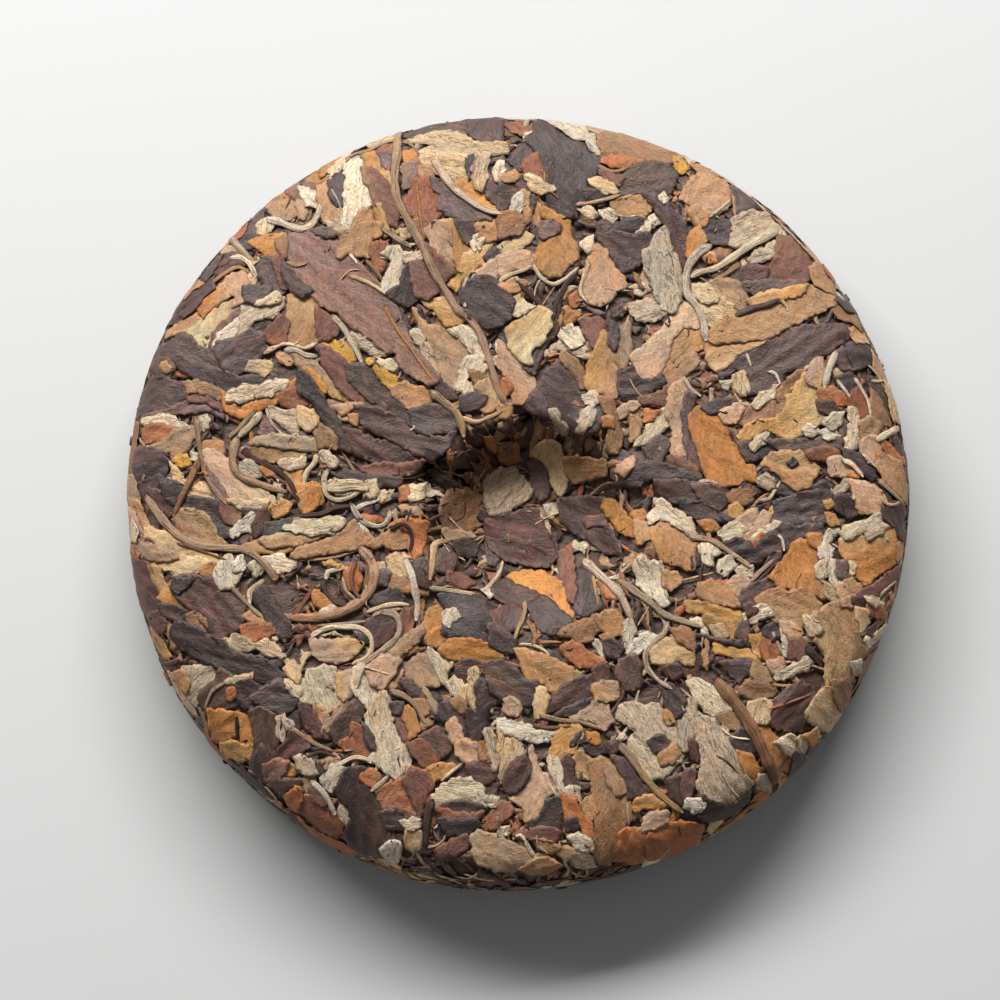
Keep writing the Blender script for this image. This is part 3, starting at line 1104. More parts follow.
    "bottom right": """
cream 687,681 700,679 714,689 722,699 733,710 724,715 712,717 703,708 693,694
greige 683,699 694,701 700,715 712,719 722,723 728,733 732,747 738,757 742,769 753,784 744,791 738,799
728,807 716,803 704,797 697,788 700,776 702,764 698,752 692,740 685,724
greige 679,719 690,723 693,744 684,753 679,740
maroon 689,739 696,743 699,761 692,757
black 661,683 672,685 685,700 681,717 672,719 665,704
amber 663,711 670,713 675,722 668,725
olive 715,716 730,711 743,718 739,731 726,727
slate 731,738 744,727 752,739 757,752 748,755 737,749
orange 737,751 750,755 759,766 759,785 750,777 741,764
orange 755,723 764,721 774,737 786,747 793,758 797,770 788,783 780,791 777,776 769,756 759,740
brown 737,688 752,681 768,683 775,694 760,701 745,697
maroon 777,700 786,689 800,683 815,688 813,700 807,712 803,726 792,733 778,729 767,720 767,706
sand 749,702 764,699 771,704 767,721 758,725 749,716
khaki 805,716 812,701 822,689 830,687 837,704 843,720 832,733 824,729 813,725
brown 831,681 846,679 853,690 849,705 842,713 835,700
ivory 775,742 784,737 794,735 801,748 792,757 783,749
ivory 797,738 808,735 813,748 806,761 799,752
black 795,752 807,762 801,773 789,777 793,764
black 811,740 825,738 816,749 807,757
orange 805,736 816,729 821,740 812,745
greige 759,775 768,777 771,792 762,799 757,788
rust 751,805 760,793 769,796 767,803 756,809
khaki 709,829 716,815 725,811 723,822 712,835
black 699,795 712,801 728,807 738,799 748,791 749,801 730,817 714,821 699,817
ivory 685,807 688,799 700,799 705,806 694,813
""",
    "far right": """
orange 839,540 858,537 876,531 886,525 896,529 899,548 903,556 892,566 880,573 866,585 857,576 849,562
841,552
tan 897,544 905,541 903,557 898,563
khaki 843,566 850,561 857,566 852,575 845,573
mauve 837,561 846,561 847,576 855,578 844,581 837,574
tan 839,584 852,579 861,586 859,597 846,601 837,594
tan 839,600 854,597 863,602 852,607 841,605
rosewood 857,592 874,585 888,573 902,565 897,579 884,591 872,597 859,599
maroon 851,596 862,599 871,606 860,609 853,602
straw 839,532 850,525 864,521 881,513 883,520 872,529 858,535 845,539
greige 865,530 882,525 891,525 878,535 867,539
amber 825,513 834,515 839,525 829,525
plum 881,505 896,503 905,505 905,524 905,541 898,537 896,526 883,520
rust 867,603 880,607 887,619 876,617 865,612
cream 865,597 876,597 883,607 872,605
khaki 855,607 866,611 869,622 862,633 857,620
cream 863,640 876,635 886,625 889,628 880,641 869,649
maroon 861,635 872,627 879,621 873,635
maroon 865,655 874,647 881,641 879,653 869,659
brown 861,668 870,655 881,649 877,663 866,677 859,685
greige 851,662 860,660 861,672 853,673
""",
}

# The traced stems and curls by region: each line is a colour, a diameter in pixels and the path
TRACED_STEMS = {
    "upper left": """
greige 5 262,354 274,348 284,344 296,346 306,348 317,343
ivory 7 284,350 296,350 306,355 317,356
cream 10 262,412 252,424 238,437
taupe 9 238,436 234,450 233,464 241,476 262,485 286,492
taupe 6 256,410 246,421 236,431 229,437
cream 3 266,407 270,420 278,430 285,437
taupe 6 197,417 198,436 200,452 203,468 210,482 219,495 226,504
brown 8 200,458 194,474 188,486 178,503
maroon 6 243,449 252,458 264,464 276,470 287,479 294,490 299,503
cream 6 317,453 315,462 310,468 306,474 304,485
""",
    "upper centre": """
cream 7 331,315 342,326 350,340 357,352 362,363
cream 7 328,469 324,479 327,488 340,490 352,488 367,490
taupe 9 430,391 442,400 456,412 462,424 464,437
khaki 5 461,417 476,422 490,417 502,411
""",
    "upper middle": """
ochre 3 547,358 556,354 564,355
greige 5 684,377 690,388 701,396
""",
    "upper right": """
ivory 3 746,352 748,358 751,366
ivory 9 836,351 831,363 827,375 824,388
ivory 4 767,372 775,374 780,384
greige 4 836,379 842,387 849,397
cream 4 854,377 861,388 868,402 870,415
ivory 6 841,459 852,465 863,477
cream 3 861,453 868,459 875,467
cream 4 760,500 769,499 775,490 781,481
greige 4 697,483 708,481 718,484
""",
    "right edge": """
greige 4 867,364 874,370 880,377
cream 4 871,381 878,381 885,380
ivory 9 876,441 887,434 901,427
rose 5 877,479 892,492 905,505
cream 4 881,492 885,499 888,507
""",
    "left": """
brown 7 196,466 190,482 184,494 173,517
taupe 9 145,495 154,509 166,524 182,538 200,546 222,548 244,550 258,558 268,568 275,580
rosewood 3 177,543 196,549 212,555 227,560
taupe 5 231,587 244,600 256,612 263,617
cream 6 250,604 250,592 256,586 265,579
mauve 7 157,660 168,664 179,660
""",
    "dimple left": """
maroon 6 299,516 320,514 336,508 351,506
cream 6 324,480 326,494 336,500 348,498 359,493
greige 6 351,503 358,516 368,524 380,526 388,520 390,509
ivory 4 355,509 366,504 374,502 381,498
black 5 390,530 402,524 410,530 412,542 410,553
ivory 8 405,558 412,575 415,590 418,605 416,621
khaki 7 448,541 436,544 433,556 432,568 430,580
rose 12 359,547 370,560 374,576 370,590 360,602 346,610 330,616 312,618 290,618
russet 5 356,560 352,576 354,590 362,600
cream 4 343,575 346,590 355,599
taupe 6 367,563 368,575 365,588
umber 5 322,578 326,592 336,602 347,605
ivory 6 326,579 328,572 336,570 343,569
cream 6 367,612 384,606 398,604 409,605
taupe 4 372,616 388,610 402,609
greige 7 380,612 394,614 400,624 398,636 386,648 374,656 364,664
ivory 6 311,636 328,628 346,627 360,628 370,636 372,648 366,658 352,664
ivory 9 364,662 359,674 356,688
straw 5 429,588 446,590 460,592 475,594
""",
    "dimple right": """
greige 9 583,559 596,571 608,582 620,594 627,608 632,621
taupe 8 618,579 636,592 650,602 664,614 680,620 702,627
ochre 3 593,575 596,590 598,605
tan 5 525,601 524,614 518,628 514,641
tan 4 527,619 531,627 535,635
cream 4 519,644 532,645 544,650 549,655
tan 4 538,643 549,642 561,642
greige 6 668,621 664,634 654,642 646,654 648,668 658,680 673,689
""",
    "top left": """
ivory 8 267,219 280,222 290,226 302,229 312,224 318,214 321,203
rose 8 227,235 240,248 253,263
ivory 7 230,258 242,258 250,264 256,277
tan 5 213,283 226,273 238,267 249,272
tan 4 286,262 296,266 309,262
orange 3 384,305 396,328 408,345 420,362 433,379
sand 5 349,276 362,280 374,286 387,295
brown 5 365,259 374,268 383,281
""",
    "top": """
umber 4 349,149 358,144 368,142
taupe 6 345,159 356,153 370,150 384,142 395,139
taupe 4 407,141 416,149 421,157
orange 3 416,181 419,205 421,225 424,237
greige 8 433,159 446,179 458,192 472,202 486,210 503,214
taupe 6 381,227 396,238 411,247
taupe 10 399,131 397,150 395,170 395,190 400,205 408,220 416,235 424,250 432,268 440,282 448,295 456,308
468,318 478,330 486,350 492,370 498,390 507,405
ivory 4 349,253 357,263
greige 5 469,275 462,289
""",
    "top middle": """
cream 5 525,127 530,118 537,120
taupe 5 597,166 610,171 622,170 633,164
taupe 5 575,205 590,203 604,200 621,195
cream 5 532,263 542,278 554,284 566,278 579,267
cream 4 590,262 584,276 580,292 588,303
umber 6 577,273 566,284 560,300 558,317
umber 5 563,289 556,304 552,321
cream 5 499,281 512,274 524,270 533,265
maroon 6 519,283 532,296 543,307
""",
    "top right": """
cream 3 709,218 722,208 731,200
ivory 5 725,177 742,188 756,200 766,210 782,224 798,238 812,256
tan 5 733,195 735,215
straw 10 777,231 760,240 746,248 732,258 716,268 700,272 691,277
umber 4 769,213 784,228 800,244 816,262
brown 6 741,263 726,274 713,281
greige 9 712,245 700,252 690,264 686,280 688,294 698,308 704,324 706,341
mauve 7 735,315 752,308 768,304 779,299
straw 4 779,299 785,304 788,311
ivory 5 835,291 845,301
""",
    "right": """
ivory 4 776,533 782,540 784,551
rose 6 689,537 710,540 724,548 738,558 751,567
rose 5 751,581 762,570 775,559
slate 9 806,646 814,656 822,666
""",
    "lower left": """
taupe 4 226,683 214,690 208,702 204,716 206,729
black 4 237,716 237,728 239,741
taupe 5 197,705 204,720 209,737
rose 5 291,727 306,738 320,746 333,751
orange 3 333,751 355,750
mauve 4 303,759 320,752 337,757
cream 5 339,765 352,758 362,758 371,761
greige 7 310,781 322,792 330,804 335,815
""",
    "bottom": """
taupe 6 389,691 404,696 416,706 425,723
greige 4 441,781 452,772 463,763
greige 6 371,791 382,782 389,775
umber 9 433,799 428,812 426,830 425,851
""",
    "bottom middle": """
taupe 5 539,715 560,720 580,722 601,729
rosewood 5 533,726 550,728 571,726
khaki 3 627,800 629,825
taupe 9 619,743 632,758 644,776 660,794 674,806 683,813
cream 5 513,839 520,835 526,842 530,850 536,858
""",
    "bottom right": """
brown 13 715,679 738,706 754,732 766,758 777,786
rust 3 769,709 790,702 813,694
tan 9 759,802 746,812 732,824 715,833
""",
    "far right": """
sand 4 882,493 884,502 892,505 901,502
cream 4 879,597 888,588 899,579
""",
}


def smooth_step(low, high, value):
    """0 below low, 1 above high and an S between them."""
    share = np.clip((value - low) / (high - low), 0, 1)
    return share * share * (3 - 2 * share)


def profile(radius, height):
    """The length along a profile up to each of its points, with the radius and the height there."""
    length = np.concatenate([[0], np.cumsum(np.hypot(np.diff(radius), np.diff(height)))])
    return length, radius, height


TURN = np.linspace(0, math.pi / 2, PROFILE_STEPS)
UPPER = profile(
    RADIUS * np.sin(TURN) ** (2 / SHOULDER_POWER),
    RIM_HEIGHT + (THICKNESS - RIM_HEIGHT) * np.cos(TURN),
)
LOWER = profile(
    FOOT_RADIUS + (RADIUS - FOOT_RADIUS) * np.sin(TURN) ** (2 / UNDERSIDE_POWER),
    RIM_HEIGHT * (1 - np.cos(TURN)),
)
REACH = UPPER[0][-1]


def rim_scale(angle):
    """How far the outline stands out or in from a true circle."""
    return 1 + sum(size * np.cos(waves * (angle - peak)) for size, waves, peak in RIM_WAVES)


def swell(x, y):
    """The slow unevenness of a cake pressed by hand."""
    u, v = x / SWELL_LENGTHS[0], y / SWELL_LENGTHS[1]
    return SWELL_HEIGHT * (np.sin(u + 0.7 * v) + np.cos(1.3 * v - 0.6 * u + 1.1)) / 1.6


def dimple(x, y):
    """How far the dimple sinks the upper face, with the pleats of the cloth round its lip."""
    dx, dy = x - DIMPLE_CENTRE[0], y - DIMPLE_CENTRE[1]
    away, angle = np.hypot(dx, dy), np.arctan2(dy, dx)
    lip = DIMPLE_LIP_RADIUS + DIMPLE_LIP_SHIFT * np.cos(angle - DIMPLE_LONG_SIDE)
    sunk = DIMPLE_DEPTH * (1 - smooth_step(DIMPLE_FLOOR_RADIUS, lip, away))
    pleat = PLEAT_HEIGHT * np.cos(PLEATS * angle) * np.exp(-(((away - lip) / PLEAT_WIDTH) ** 2))
    return sunk + pleat


def upper_points(x, y):
    """Points of the upper face, from their places on the face unrolled flat round its middle. Past the rim
    the sheet goes on round the side and under the cake."""
    reach, angle = np.hypot(x, y), np.arctan2(y, x)
    below = LOWER[0][-1] - (reach - REACH)
    above = reach <= REACH
    radius = np.where(above, np.interp(reach, UPPER[0], UPPER[1]), np.interp(below, LOWER[0], LOWER[1]))
    height = np.where(above, np.interp(reach, UPPER[0], UPPER[2]), np.interp(below, LOWER[0], LOWER[2]))
    radius = radius * rim_scale(angle)
    px, py = radius * np.cos(angle), radius * np.sin(angle)
    fade = 1 - smooth_step(SWELL_ENDS * REACH, REACH, reach)
    height = height + np.where(above, swell(px, py) * fade - dimple(px, py), 0)
    return np.stack([px, py, height], axis=-1)


def lower_points(x, y):
    """Points of the underside, from their places on it unrolled flat and seen from below."""
    reach, angle = np.hypot(x, y), np.arctan2(y, -x)
    beyond = reach - FOOT_RADIUS
    radius = np.where(beyond < 0, reach, np.interp(beyond, LOWER[0], LOWER[1]))
    height = np.where(beyond < 0, 0, np.interp(beyond, LOWER[0], LOWER[2]))
    radius = radius * rim_scale(angle)
    return np.stack([radius * np.cos(angle), radius * np.sin(angle), height], axis=-1)


def hollows(x, y):
    """How deep the dark hollows under the dimple's lip are, at places of the unrolled upper face."""
    places = upper_points(x, y)
    total = np.zeros(np.shape(x))
    for (px, py), (half_long, half_wide), turn, depth in HOLLOWS:
        dx = places[..., 0] - (px - CENTRE_PIXEL[0]) * PHOTO_MM
        dy = places[..., 1] - (CENTRE_PIXEL[1] - py) * PHOTO_MM
        u = (dx * math.cos(turn) + dy * math.sin(turn)) / half_long
        v = (dy * math.cos(turn) - dx * math.sin(turn)) / half_wide
        total = np.maximum(total, depth * (1 - smooth_step(*HOLLOW_SLOPE, np.hypot(u, v))))
    return total


def blurred(field, cells):
    """A field smoothed over so many cells each way, twice."""
    for axis in (0, 1, 0, 1):
        margins = [(0, 0), (0, 0)]
        margins[axis] = (cells + 1, cells)
        total = np.cumsum(np.pad(field, margins, mode="edge"), axis=axis)
        span = 2 * cells + 1
        if axis == 0:
            field = (total[span:] - total[:-span]) / span
        else:
            field = (total[:, span:] - total[:, :-span]) / span
    return field


def bilinear(field, x, y):
    """A field's values between its cells, for places in cells."""
    x = np.clip(x, 0, field.shape[0] - 1.001)
    y = np.clip(y, 0, field.shape[1] - 1.001)
    i, j = x.astype(int), y.astype(int)
    a, b = x - i, y - j
    low = field[i, j] * (1 - a) + field[i + 1, j] * a
    high = field[i, j + 1] * (1 - a) + field[i + 1, j + 1] * a
    return low * (1 - b) + high * b


def inside(outline, x, y):
    """Which of the places lie inside a closed outline."""
    found = np.zeros(x.shape, dtype=bool)
    for (ax, ay), (bx, by) in zip(outline, np.roll(outline, -1, axis=0)):
        if ay == by:
            continue
        crosses = ((ay > y) != (by > y)) & (x < (bx - ax) * (y - ay) / (by - ay) + ax)
        found ^= crosses
    return found


def nearest(places, others):
    """How far each place is from the nearest of the others."""
    return np.min(np.linalg.norm(places[:, None] - others[None], axis=2), axis=1)


class Face:
    """One side of the cake unrolled flat, with how high the leaves lie at each cell of it."""

    def __init__(self, extent, points, offset, rim_shade):
        self.extent = extent
        self.rim_shade = rim_shade
        self.points = points
        self.offset = offset
        cells = int(2 * extent / CELL) + 1
        self.height = np.zeros((cells, cells))
        self.level = None

    def places(self):
        """The places of all the cells."""
        along = np.arange(len(self.height)) * CELL - self.extent
        return np.meshgrid(along, along, indexing="ij")

    def in_cells(self, x, y, first=(0, 0)):
        """Places counted in cells from the first one of a window."""
        return (x + self.extent) / CELL - first[0], (y + self.extent) / CELL - first[1]

    def window(self, low, high):
        """The cells between two corners, with a margin: their slices, the first one and their places."""
        first = ((np.asarray(low) + self.extent) / CELL).astype(int) - MARGIN_CELLS
        first = np.clip(first, 0, self.height.shape[0] - 2)
        last = ((np.asarray(high) + self.extent) / CELL).astype(int) + MARGIN_CELLS
        last = np.maximum(np.clip(last, 2, self.height.shape[0]), first + 2)
        rows, columns = slice(first[0], last[0]), slice(first[1], last[1])
        x = np.arange(first[0], last[0]) * CELL - self.extent
        y = np.arange(first[1], last[1]) * CELL - self.extent
        return (rows, columns), first, np.meshgrid(x, y, indexing="ij")

    def rim_light(self, place):
        """How much paler than its named colour a leaf is here: the rim is scuffed pale on the side away
        from the window, as the photograph shows."""
        x, y = place
        share = float(smooth_step(RIM_SHADE_FROM * REACH, REACH, np.hypot(x, y)))
        return 1 - self.rim_shade * share * math.cos(math.atan2(y, x) - KEY_AZIMUTH)

    def finish(self):
        """Keeps the mean level of the laid leaves, from which each point's relief is counted."""
        coarse = blurred(self.height, LEVELLING_CELLS)
        self.level = blurred(np.maximum(self.height, coarse - GAP_DEPTH), LEVELLING_CELLS)

    def solid_points(self, x, y, height):
        """Where points at a height over the sheet are on the cake, once their relief is pressed."""
        relief = height - bilinear(self.level, *self.in_cells(x, y))
        rubbed = smooth_step(RUBBED_FROM * REACH, RUBBED_TO * REACH, np.hypot(x, y))
        shallow = np.clip(relief, -PRESSED_DEPTH, PRESSED_DEPTH)
        relief = (relief - (1 - PRESSED_SHARE) * shallow) * (1 - RUBBED_SHARE * rubbed)
        return self.sunk_points(x, y, RIM_SINK * rubbed - relief - self.offset)

    def sunk_points(self, x, y, depth):
        """Where points so far under the sheet are on the cake."""
        across = self.points(x + NORMAL_STEP, y) - self.points(x - NORMAL_STEP, y)
        ahead = self.points(x, y + NORMAL_STEP) - self.points(x, y - NORMAL_STEP)
        normal = np.cross(across, ahead)
        normal /= np.maximum(np.linalg.norm(normal, axis=-1, keepdims=True), 1e-9)
        sunk = self.points(x, y) - normal * np.asarray(depth)[..., None]
        room = FLOOR_EASE - FLOOR_GAP
        eased = FLOOR_GAP + room * np.exp((np.minimum(sunk[..., 2], FLOOR_EASE) - FLOOR_EASE) / room)
        sunk[..., 2] = np.where(sunk[..., 2] < FLOOR_EASE, eased, sunk[..., 2])
        return sunk


class Piece:
    """A mesh object gathered from many small closed solids of one kind."""

    def __init__(self, name):
        self.name = name
        self.parts = []
        self.count = 0

    def add(self, face, x, y, height, triangles, sides, grain, tint):
        """A solid: its points on a face, its triangles, which of them are sides, its grain and its tint."""
        self.parts.append((face, x, y, height, triangles + self.count, sides, grain, tint))
        self.count += len(x)

    def make(self, material):
        """The object, once the faces are finished."""
        points = np.concatenate([f.solid_points(x, y, h) for f, x, y, h, *_ in self.parts]) * METRE
        triangles, flat, grain, tint = (np.concatenate(column) for column in list(zip(*self.parts))[4:])
        return mesh_object(self.name, points, triangles, flat, grain, tint, material)


def mesh_object(name, points, triangles, flat, grain, tint, material):
    """A mesh object with the two attributes that the leaf materials read."""
    mesh = bpy.data.meshes.new(name)
    mesh.vertices.add(len(points))
    mesh.vertices.foreach_set("co", np.ascontiguousarray(points, dtype=np.float32).ravel())
    mesh.loops.add(len(triangles) * 3)
    mesh.loops.foreach_set("vertex_index", triangles.astype(np.int32).ravel())
    mesh.polygons.add(len(triangles))
    mesh.polygons.foreach_set("loop_start", np.arange(0, len(triangles) * 3, 3, dtype=np.int32))
    mesh.polygons.foreach_set("use_smooth", ~flat)
    mesh.update(calc_edges=True)
    mesh.validate()
    for title, kind, field, values in (
        ("grain", "FLOAT_VECTOR", "vector", grain),
        ("tint", "FLOAT_COLOR", "color", tint),
    ):
        attribute = mesh.attributes.new(title, kind, "POINT")
        attribute.data.foreach_set(field, values.astype(np.float32).ravel())
    mesh.materials.append(material)
    made = bpy.data.objects.new(name, mesh)
    bpy.context.scene.collection.objects.link(made)
    return made


def linear(value):
    """An sRGB value of 0 to 255 as the light it stands for."""
    value = value / 255
    return value / 12.92 if value <= 0.04045 else ((value + 0.055) / 1.055) ** 2.4


def shade_of(colour):
    """A named colour as the light that it sends back."""
    return np.array([linear(v) for v in COLOURS[colour]])


def kind_of(colour):
    """The kind of leaf that has this colour."""
    return next(kind for kind, names in KIND_COLOURS.items() if colour in names)


def tints(colour, light, share, draw):
    """A leaf's own shade at each of its points: the named colour, turning to a neighbouring one as the share
    grows. The fourth number is the leaf's own, and its pattern starts from it."""
    bright = LEAF_LIGHT * light * draw.uniform(*LIGHT_RANGE)
    warm = 1 + draw.uniform(*WARMTH_RANGE)
    first = shade_of(colour)
    second = shade_of(draw.choice(KIND_COLOURS[kind_of(colour)]))
    mixed = first + (second - first) * share[:, None]
    shade = mixed * bright * np.array([warm, 1, 1 / warm])
    return np.concatenate([shade, np.full((len(share), 1), draw.random())], axis=1)


def camera_frame():
    """The photograph's camera: where it is, and the directions of its right, its top and its view."""
    back = np.array([0, -math.cos(CAMERA_ELEVATION), math.sin(CAMERA_ELEVATION)])
    right = np.array([1.0, 0, 0])
    return np.array(CAMERA_TARGET) + back * CAMERA_DISTANCE, right, np.cross(back, right), -back


def chart_of_pixels(pixels):
    """Places on the unrolled upper face of pixels of the photograph, found by looking through its camera."""
    eye, right, top, ahead = camera_frame()
    pixels = np.asarray(pixels, dtype=float)
    slope = CAMERA_SENSOR / CAMERA_LENS / PHOTO_SIDE
    sight = (
        ahead
        + right * ((pixels[:, :1] - PHOTO_SIDE / 2) * slope)
        + top * ((PHOTO_SIDE / 2 - pixels[:, 1:]) * slope)
    )
    height = np.full(len(pixels), THICKNESS)
    for _ in range(SIGHT_STEPS):
        far = (height - eye[2]) / sight[:, 2]
        x, y = eye[0] + sight[:, 0] * far, eye[1] + sight[:, 1] * far
        angle = np.arctan2(y, x)
        reach = np.interp(np.hypot(x, y) / rim_scale(angle), UPPER[1], UPPER[0])
        chart = np.stack([reach * np.cos(angle), reach * np.sin(angle)], axis=-1)
        height = 0.5 * height + 0.5 * upper_points(chart[:, 0], chart[:, 1])[:, 2]
    return chart


def shares_between(start, end, step):
    """How far along from one place to the next each point at an even step is."""
    count = max(1, round(float(np.linalg.norm(end - start)) / step))
    return [k / count for k in range(count)]


def curve_point(p0, p1, p2, p3, t):
    """The point a share t of the way from the second to the third of four places, on a smooth curve."""
    slope, bend, twist = p2 - p0, 2 * p0 - 5 * p1 + 4 * p2 - p3, 3 * p1 - p0 - 3 * p2 + p3
    return 0.5 * (2 * p1 + slope * t + bend * t * t + twist * t ** 3)


def softened(outline, step, round_share):
    """A closed outline drawn at an even step, its corners rounded as far as the share says."""
    before, after, next_one = (np.roll(outline, shift, axis=0) for shift in (1, -1, -2))
    drawn = []
    for p0, p1, p2, p3 in zip(before, outline, after, next_one):
        for t in shares_between(p1, p2, step):
            straight = p1 + (p2 - p1) * t
            drawn.append(straight * (1 - round_share) + curve_point(p0, p1, p2, p3, t) * round_share)
    return np.array(drawn)


def smooth_path(places, step):
    """Evenly spaced points on a smooth curve through the places."""
    places = np.asarray(places, dtype=float)
    padded = np.concatenate([[2 * places[0] - places[1]], places, [2 * places[-1] - places[-2]]])
    drawn = []
    for p0, p1, p2, p3 in zip(padded, padded[1:], padded[2:], padded[3:]):
        drawn.extend(curve_point(p0, p1, p2, p3, t) for t in shares_between(p1, p2, step))
    drawn.append(places[-1])
    return np.array(drawn)


def outward(outline):
    """The outward direction at each point of an outline that runs anticlockwise."""
    along = np.roll(outline, -1, axis=0) - np.roll(outline, 1, axis=0)
    along /= np.maximum(np.linalg.norm(along, axis=1, keepdims=True), 1e-6)
    return np.stack([along[:, 1], -along[:, 0]], axis=-1)


def torn(outline, grow, ragged, draw):
    """An outline grown by a little and torn along its edge."""
    travelled = np.cumsum(np.linalg.norm(np.roll(outline, -1, axis=0) - outline, axis=1))
    tear = np.zeros(len(outline))
    for length in TEAR_LENGTHS:
        rounds = max(1, round(travelled[-1] / length))
        phase = draw.uniform(*ANY_PHASE)
        tear += np.sin(2 * math.pi * rounds * travelled / travelled[-1] + phase) / TEAR_DIVISOR
    tear += np.array([draw.uniform(-1, 1) for _ in outline])
    return outline + outward(outline) * (grow + ragged * tear)[:, None]


def area_of(outline):
    """The area inside an outline, below zero where it runs clockwise."""
    x, y = outline[:, 0], outline[:, 1]
    return 0.5 * float(np.sum(x * np.roll(y, -1) - np.roll(x, -1) * y))


def main_axis(outline):
    """The middle of an outline and the direction in which it is longest."""
    middle = outline.mean(axis=0)
    _, directions = np.linalg.eigh(np.cov((outline - middle).T))
    return middle, directions[:, 1]


def inner_points(outline, axis, spacing, draw):
    """Places inside an outline on a net of even triangles that lies along the leaf."""
    aside = np.array([-axis[1], axis[0]])
    turned = outline @ np.stack([axis, aside], axis=-1)
    low, high = turned.min(axis=0), turned.max(axis=0)
    row_step = spacing * NET_ROW
    rows = np.arange(low[1] + row_step / 2, high[1], row_step)
    columns = np.arange(low[0], high[0] + spacing, spacing)
    u = np.concatenate([np.zeros(0), *(columns + (k % 2) * spacing / 2 for k in range(len(rows)))])
    v = np.repeat(rows, len(columns))
    shifts = np.random.default_rng(draw.randrange(1 << 30)).uniform(-NET_JITTER, NET_JITTER, (len(u), 2))
    places = np.stack([u, v], axis=-1) + shifts * spacing
    if not len(places):
        return places
    places = places @ np.stack([axis, aside])
    places = places[inside(outline, places[:, 0], places[:, 1])]
    if len(places):
        places = places[nearest(places, outline) > NET_CLEARANCE * spacing]
    return places


def net(outline, inner):
    """Triangles over the outline and the places inside it. Returns all the points, and the triangles."""
    points = [Vector(p) for p in (*outline, *inner)]
    loop = list(range(len(outline)))
    found, _, faces, *_ = delaunay_2d_cdt(points, [], [loop], 1, 1e-5)
    return np.array([(p.x, p.y) for p in found]), np.array([f for f in faces if len(f) == 3], dtype=int)


def shell(triangles, count):
    """A closed shell over a net of triangles: the net, its copy below and the wall between them. Returns its
    triangles, which of them are the wall, and the points of the border."""
    edges = np.concatenate([triangles[:, [0, 1]], triangles[:, [1, 2]], triangles[:, [2, 0]]])
    keys = edges[:, 0] * count + edges[:, 1]
    back = edges[:, 1] * count + edges[:, 0]
    border = edges[~np.isin(keys, back)]
    a, b = border[:, 0], border[:, 1]
    wall = np.concatenate([
        np.stack([a, a + count, b + count], axis=-1),
        np.stack([a, b + count, b], axis=-1),
    ])
    faces = np.concatenate([triangles, triangles[:, ::-1] + count, wall])
    sides = np.concatenate([np.zeros(2 * len(triangles), dtype=bool), np.ones(len(wall), dtype=bool)])
    return faces, sides, np.unique(border)


def sloped(u, v, half, low, high, draw):
    """A share that grows across a leaf in a random direction."""
    turn = draw.uniform(-math.pi, math.pi)
    return smooth_step(low, high, u / half[0] * math.cos(turn) + v / half[1] * math.sin(turn))


def leaf_bed(below, mask, cells):
    """What a leaf lies on: the leaves below it, smoothed as far as it is stiff."""
    smooth = blurred(below, cells)
    rise = np.percentile((below - smooth)[mask], RISE_PERCENTILE)
    bed = np.maximum(smooth + max(0.0, min(HIGHEST_RISE, float(rise))), below)
    return blurred(bed, BED_CELLS)


def leaf_waves(u, v, kind, draw):
    """A leaf's own unevenness: slow waves and sharp creases, most of them running along it."""
    total = np.zeros_like(u)
    for number in range(WAVES):
        along = 2 * math.pi / draw.uniform(*kind["along"]) * draw.choice((-1, 1))
        across = 2 * math.pi / draw.uniform(*kind["across"])
        wave = np.sin(u * along + v * across + draw.uniform(*ANY_PHASE))
        total += wave if number % 2 else CREASE_HEIGHT * (1 - 2 * np.abs(wave) ** CREASE_POWER)
    return total * kind["waves"] * WAVE_SHARE


def midrib(u, v):
    """The midrib that stands up along a large leaf."""
    return MIDRIB_HEIGHT * np.exp(-((v - MIDRIB_SLANT * u) / MIDRIB_WIDTH) ** 2)


def folds(u, v, calm, draw):
    """Lengthwise folds, each rising slowly and falling off sharply."""
    width, lean = draw.uniform(*FOLD_WIDTHS), draw.uniform(*FOLD_LEANS)
    rounds = (v + lean * u) / width + draw.random()
    share = rounds - np.floor(rounds)
    return draw.uniform(*FOLD_HEIGHTS) * calm * share * smooth_step(1.0, FOLD_EDGE, share)


def leaf_top(bed, mask, u, v, half, size, calm, lift, kind, draw):
    """How high a leaf's upper side lies: its thickness, its lift to one side, its curl and form."""
    raised = sloped(u, v, half, *LIFT_SLOPE, draw)
    outer = np.clip(np.abs(v) / half[1], 0, CURL_LIMIT)
    curl = draw.uniform(*CURL_RANGE) * kind["lift"] * outer ** CURL_POWER
    waves = leaf_waves(u, v, kind, draw) * calm
    own = waves - waves[mask].min() * WAVE_LEVEL
    if size > MIDRIB_SIZE and draw.random() < MIDRIB_SHARE:
        own = own + midrib(u, v)
    if size > FOLD_SIZE and draw.random() < kind["folded"]:
        own = own + folds(u, v, calm, draw)
    return bed + kind["thick"] + lift * raised + np.maximum(own + curl, LOWEST_WAVE)


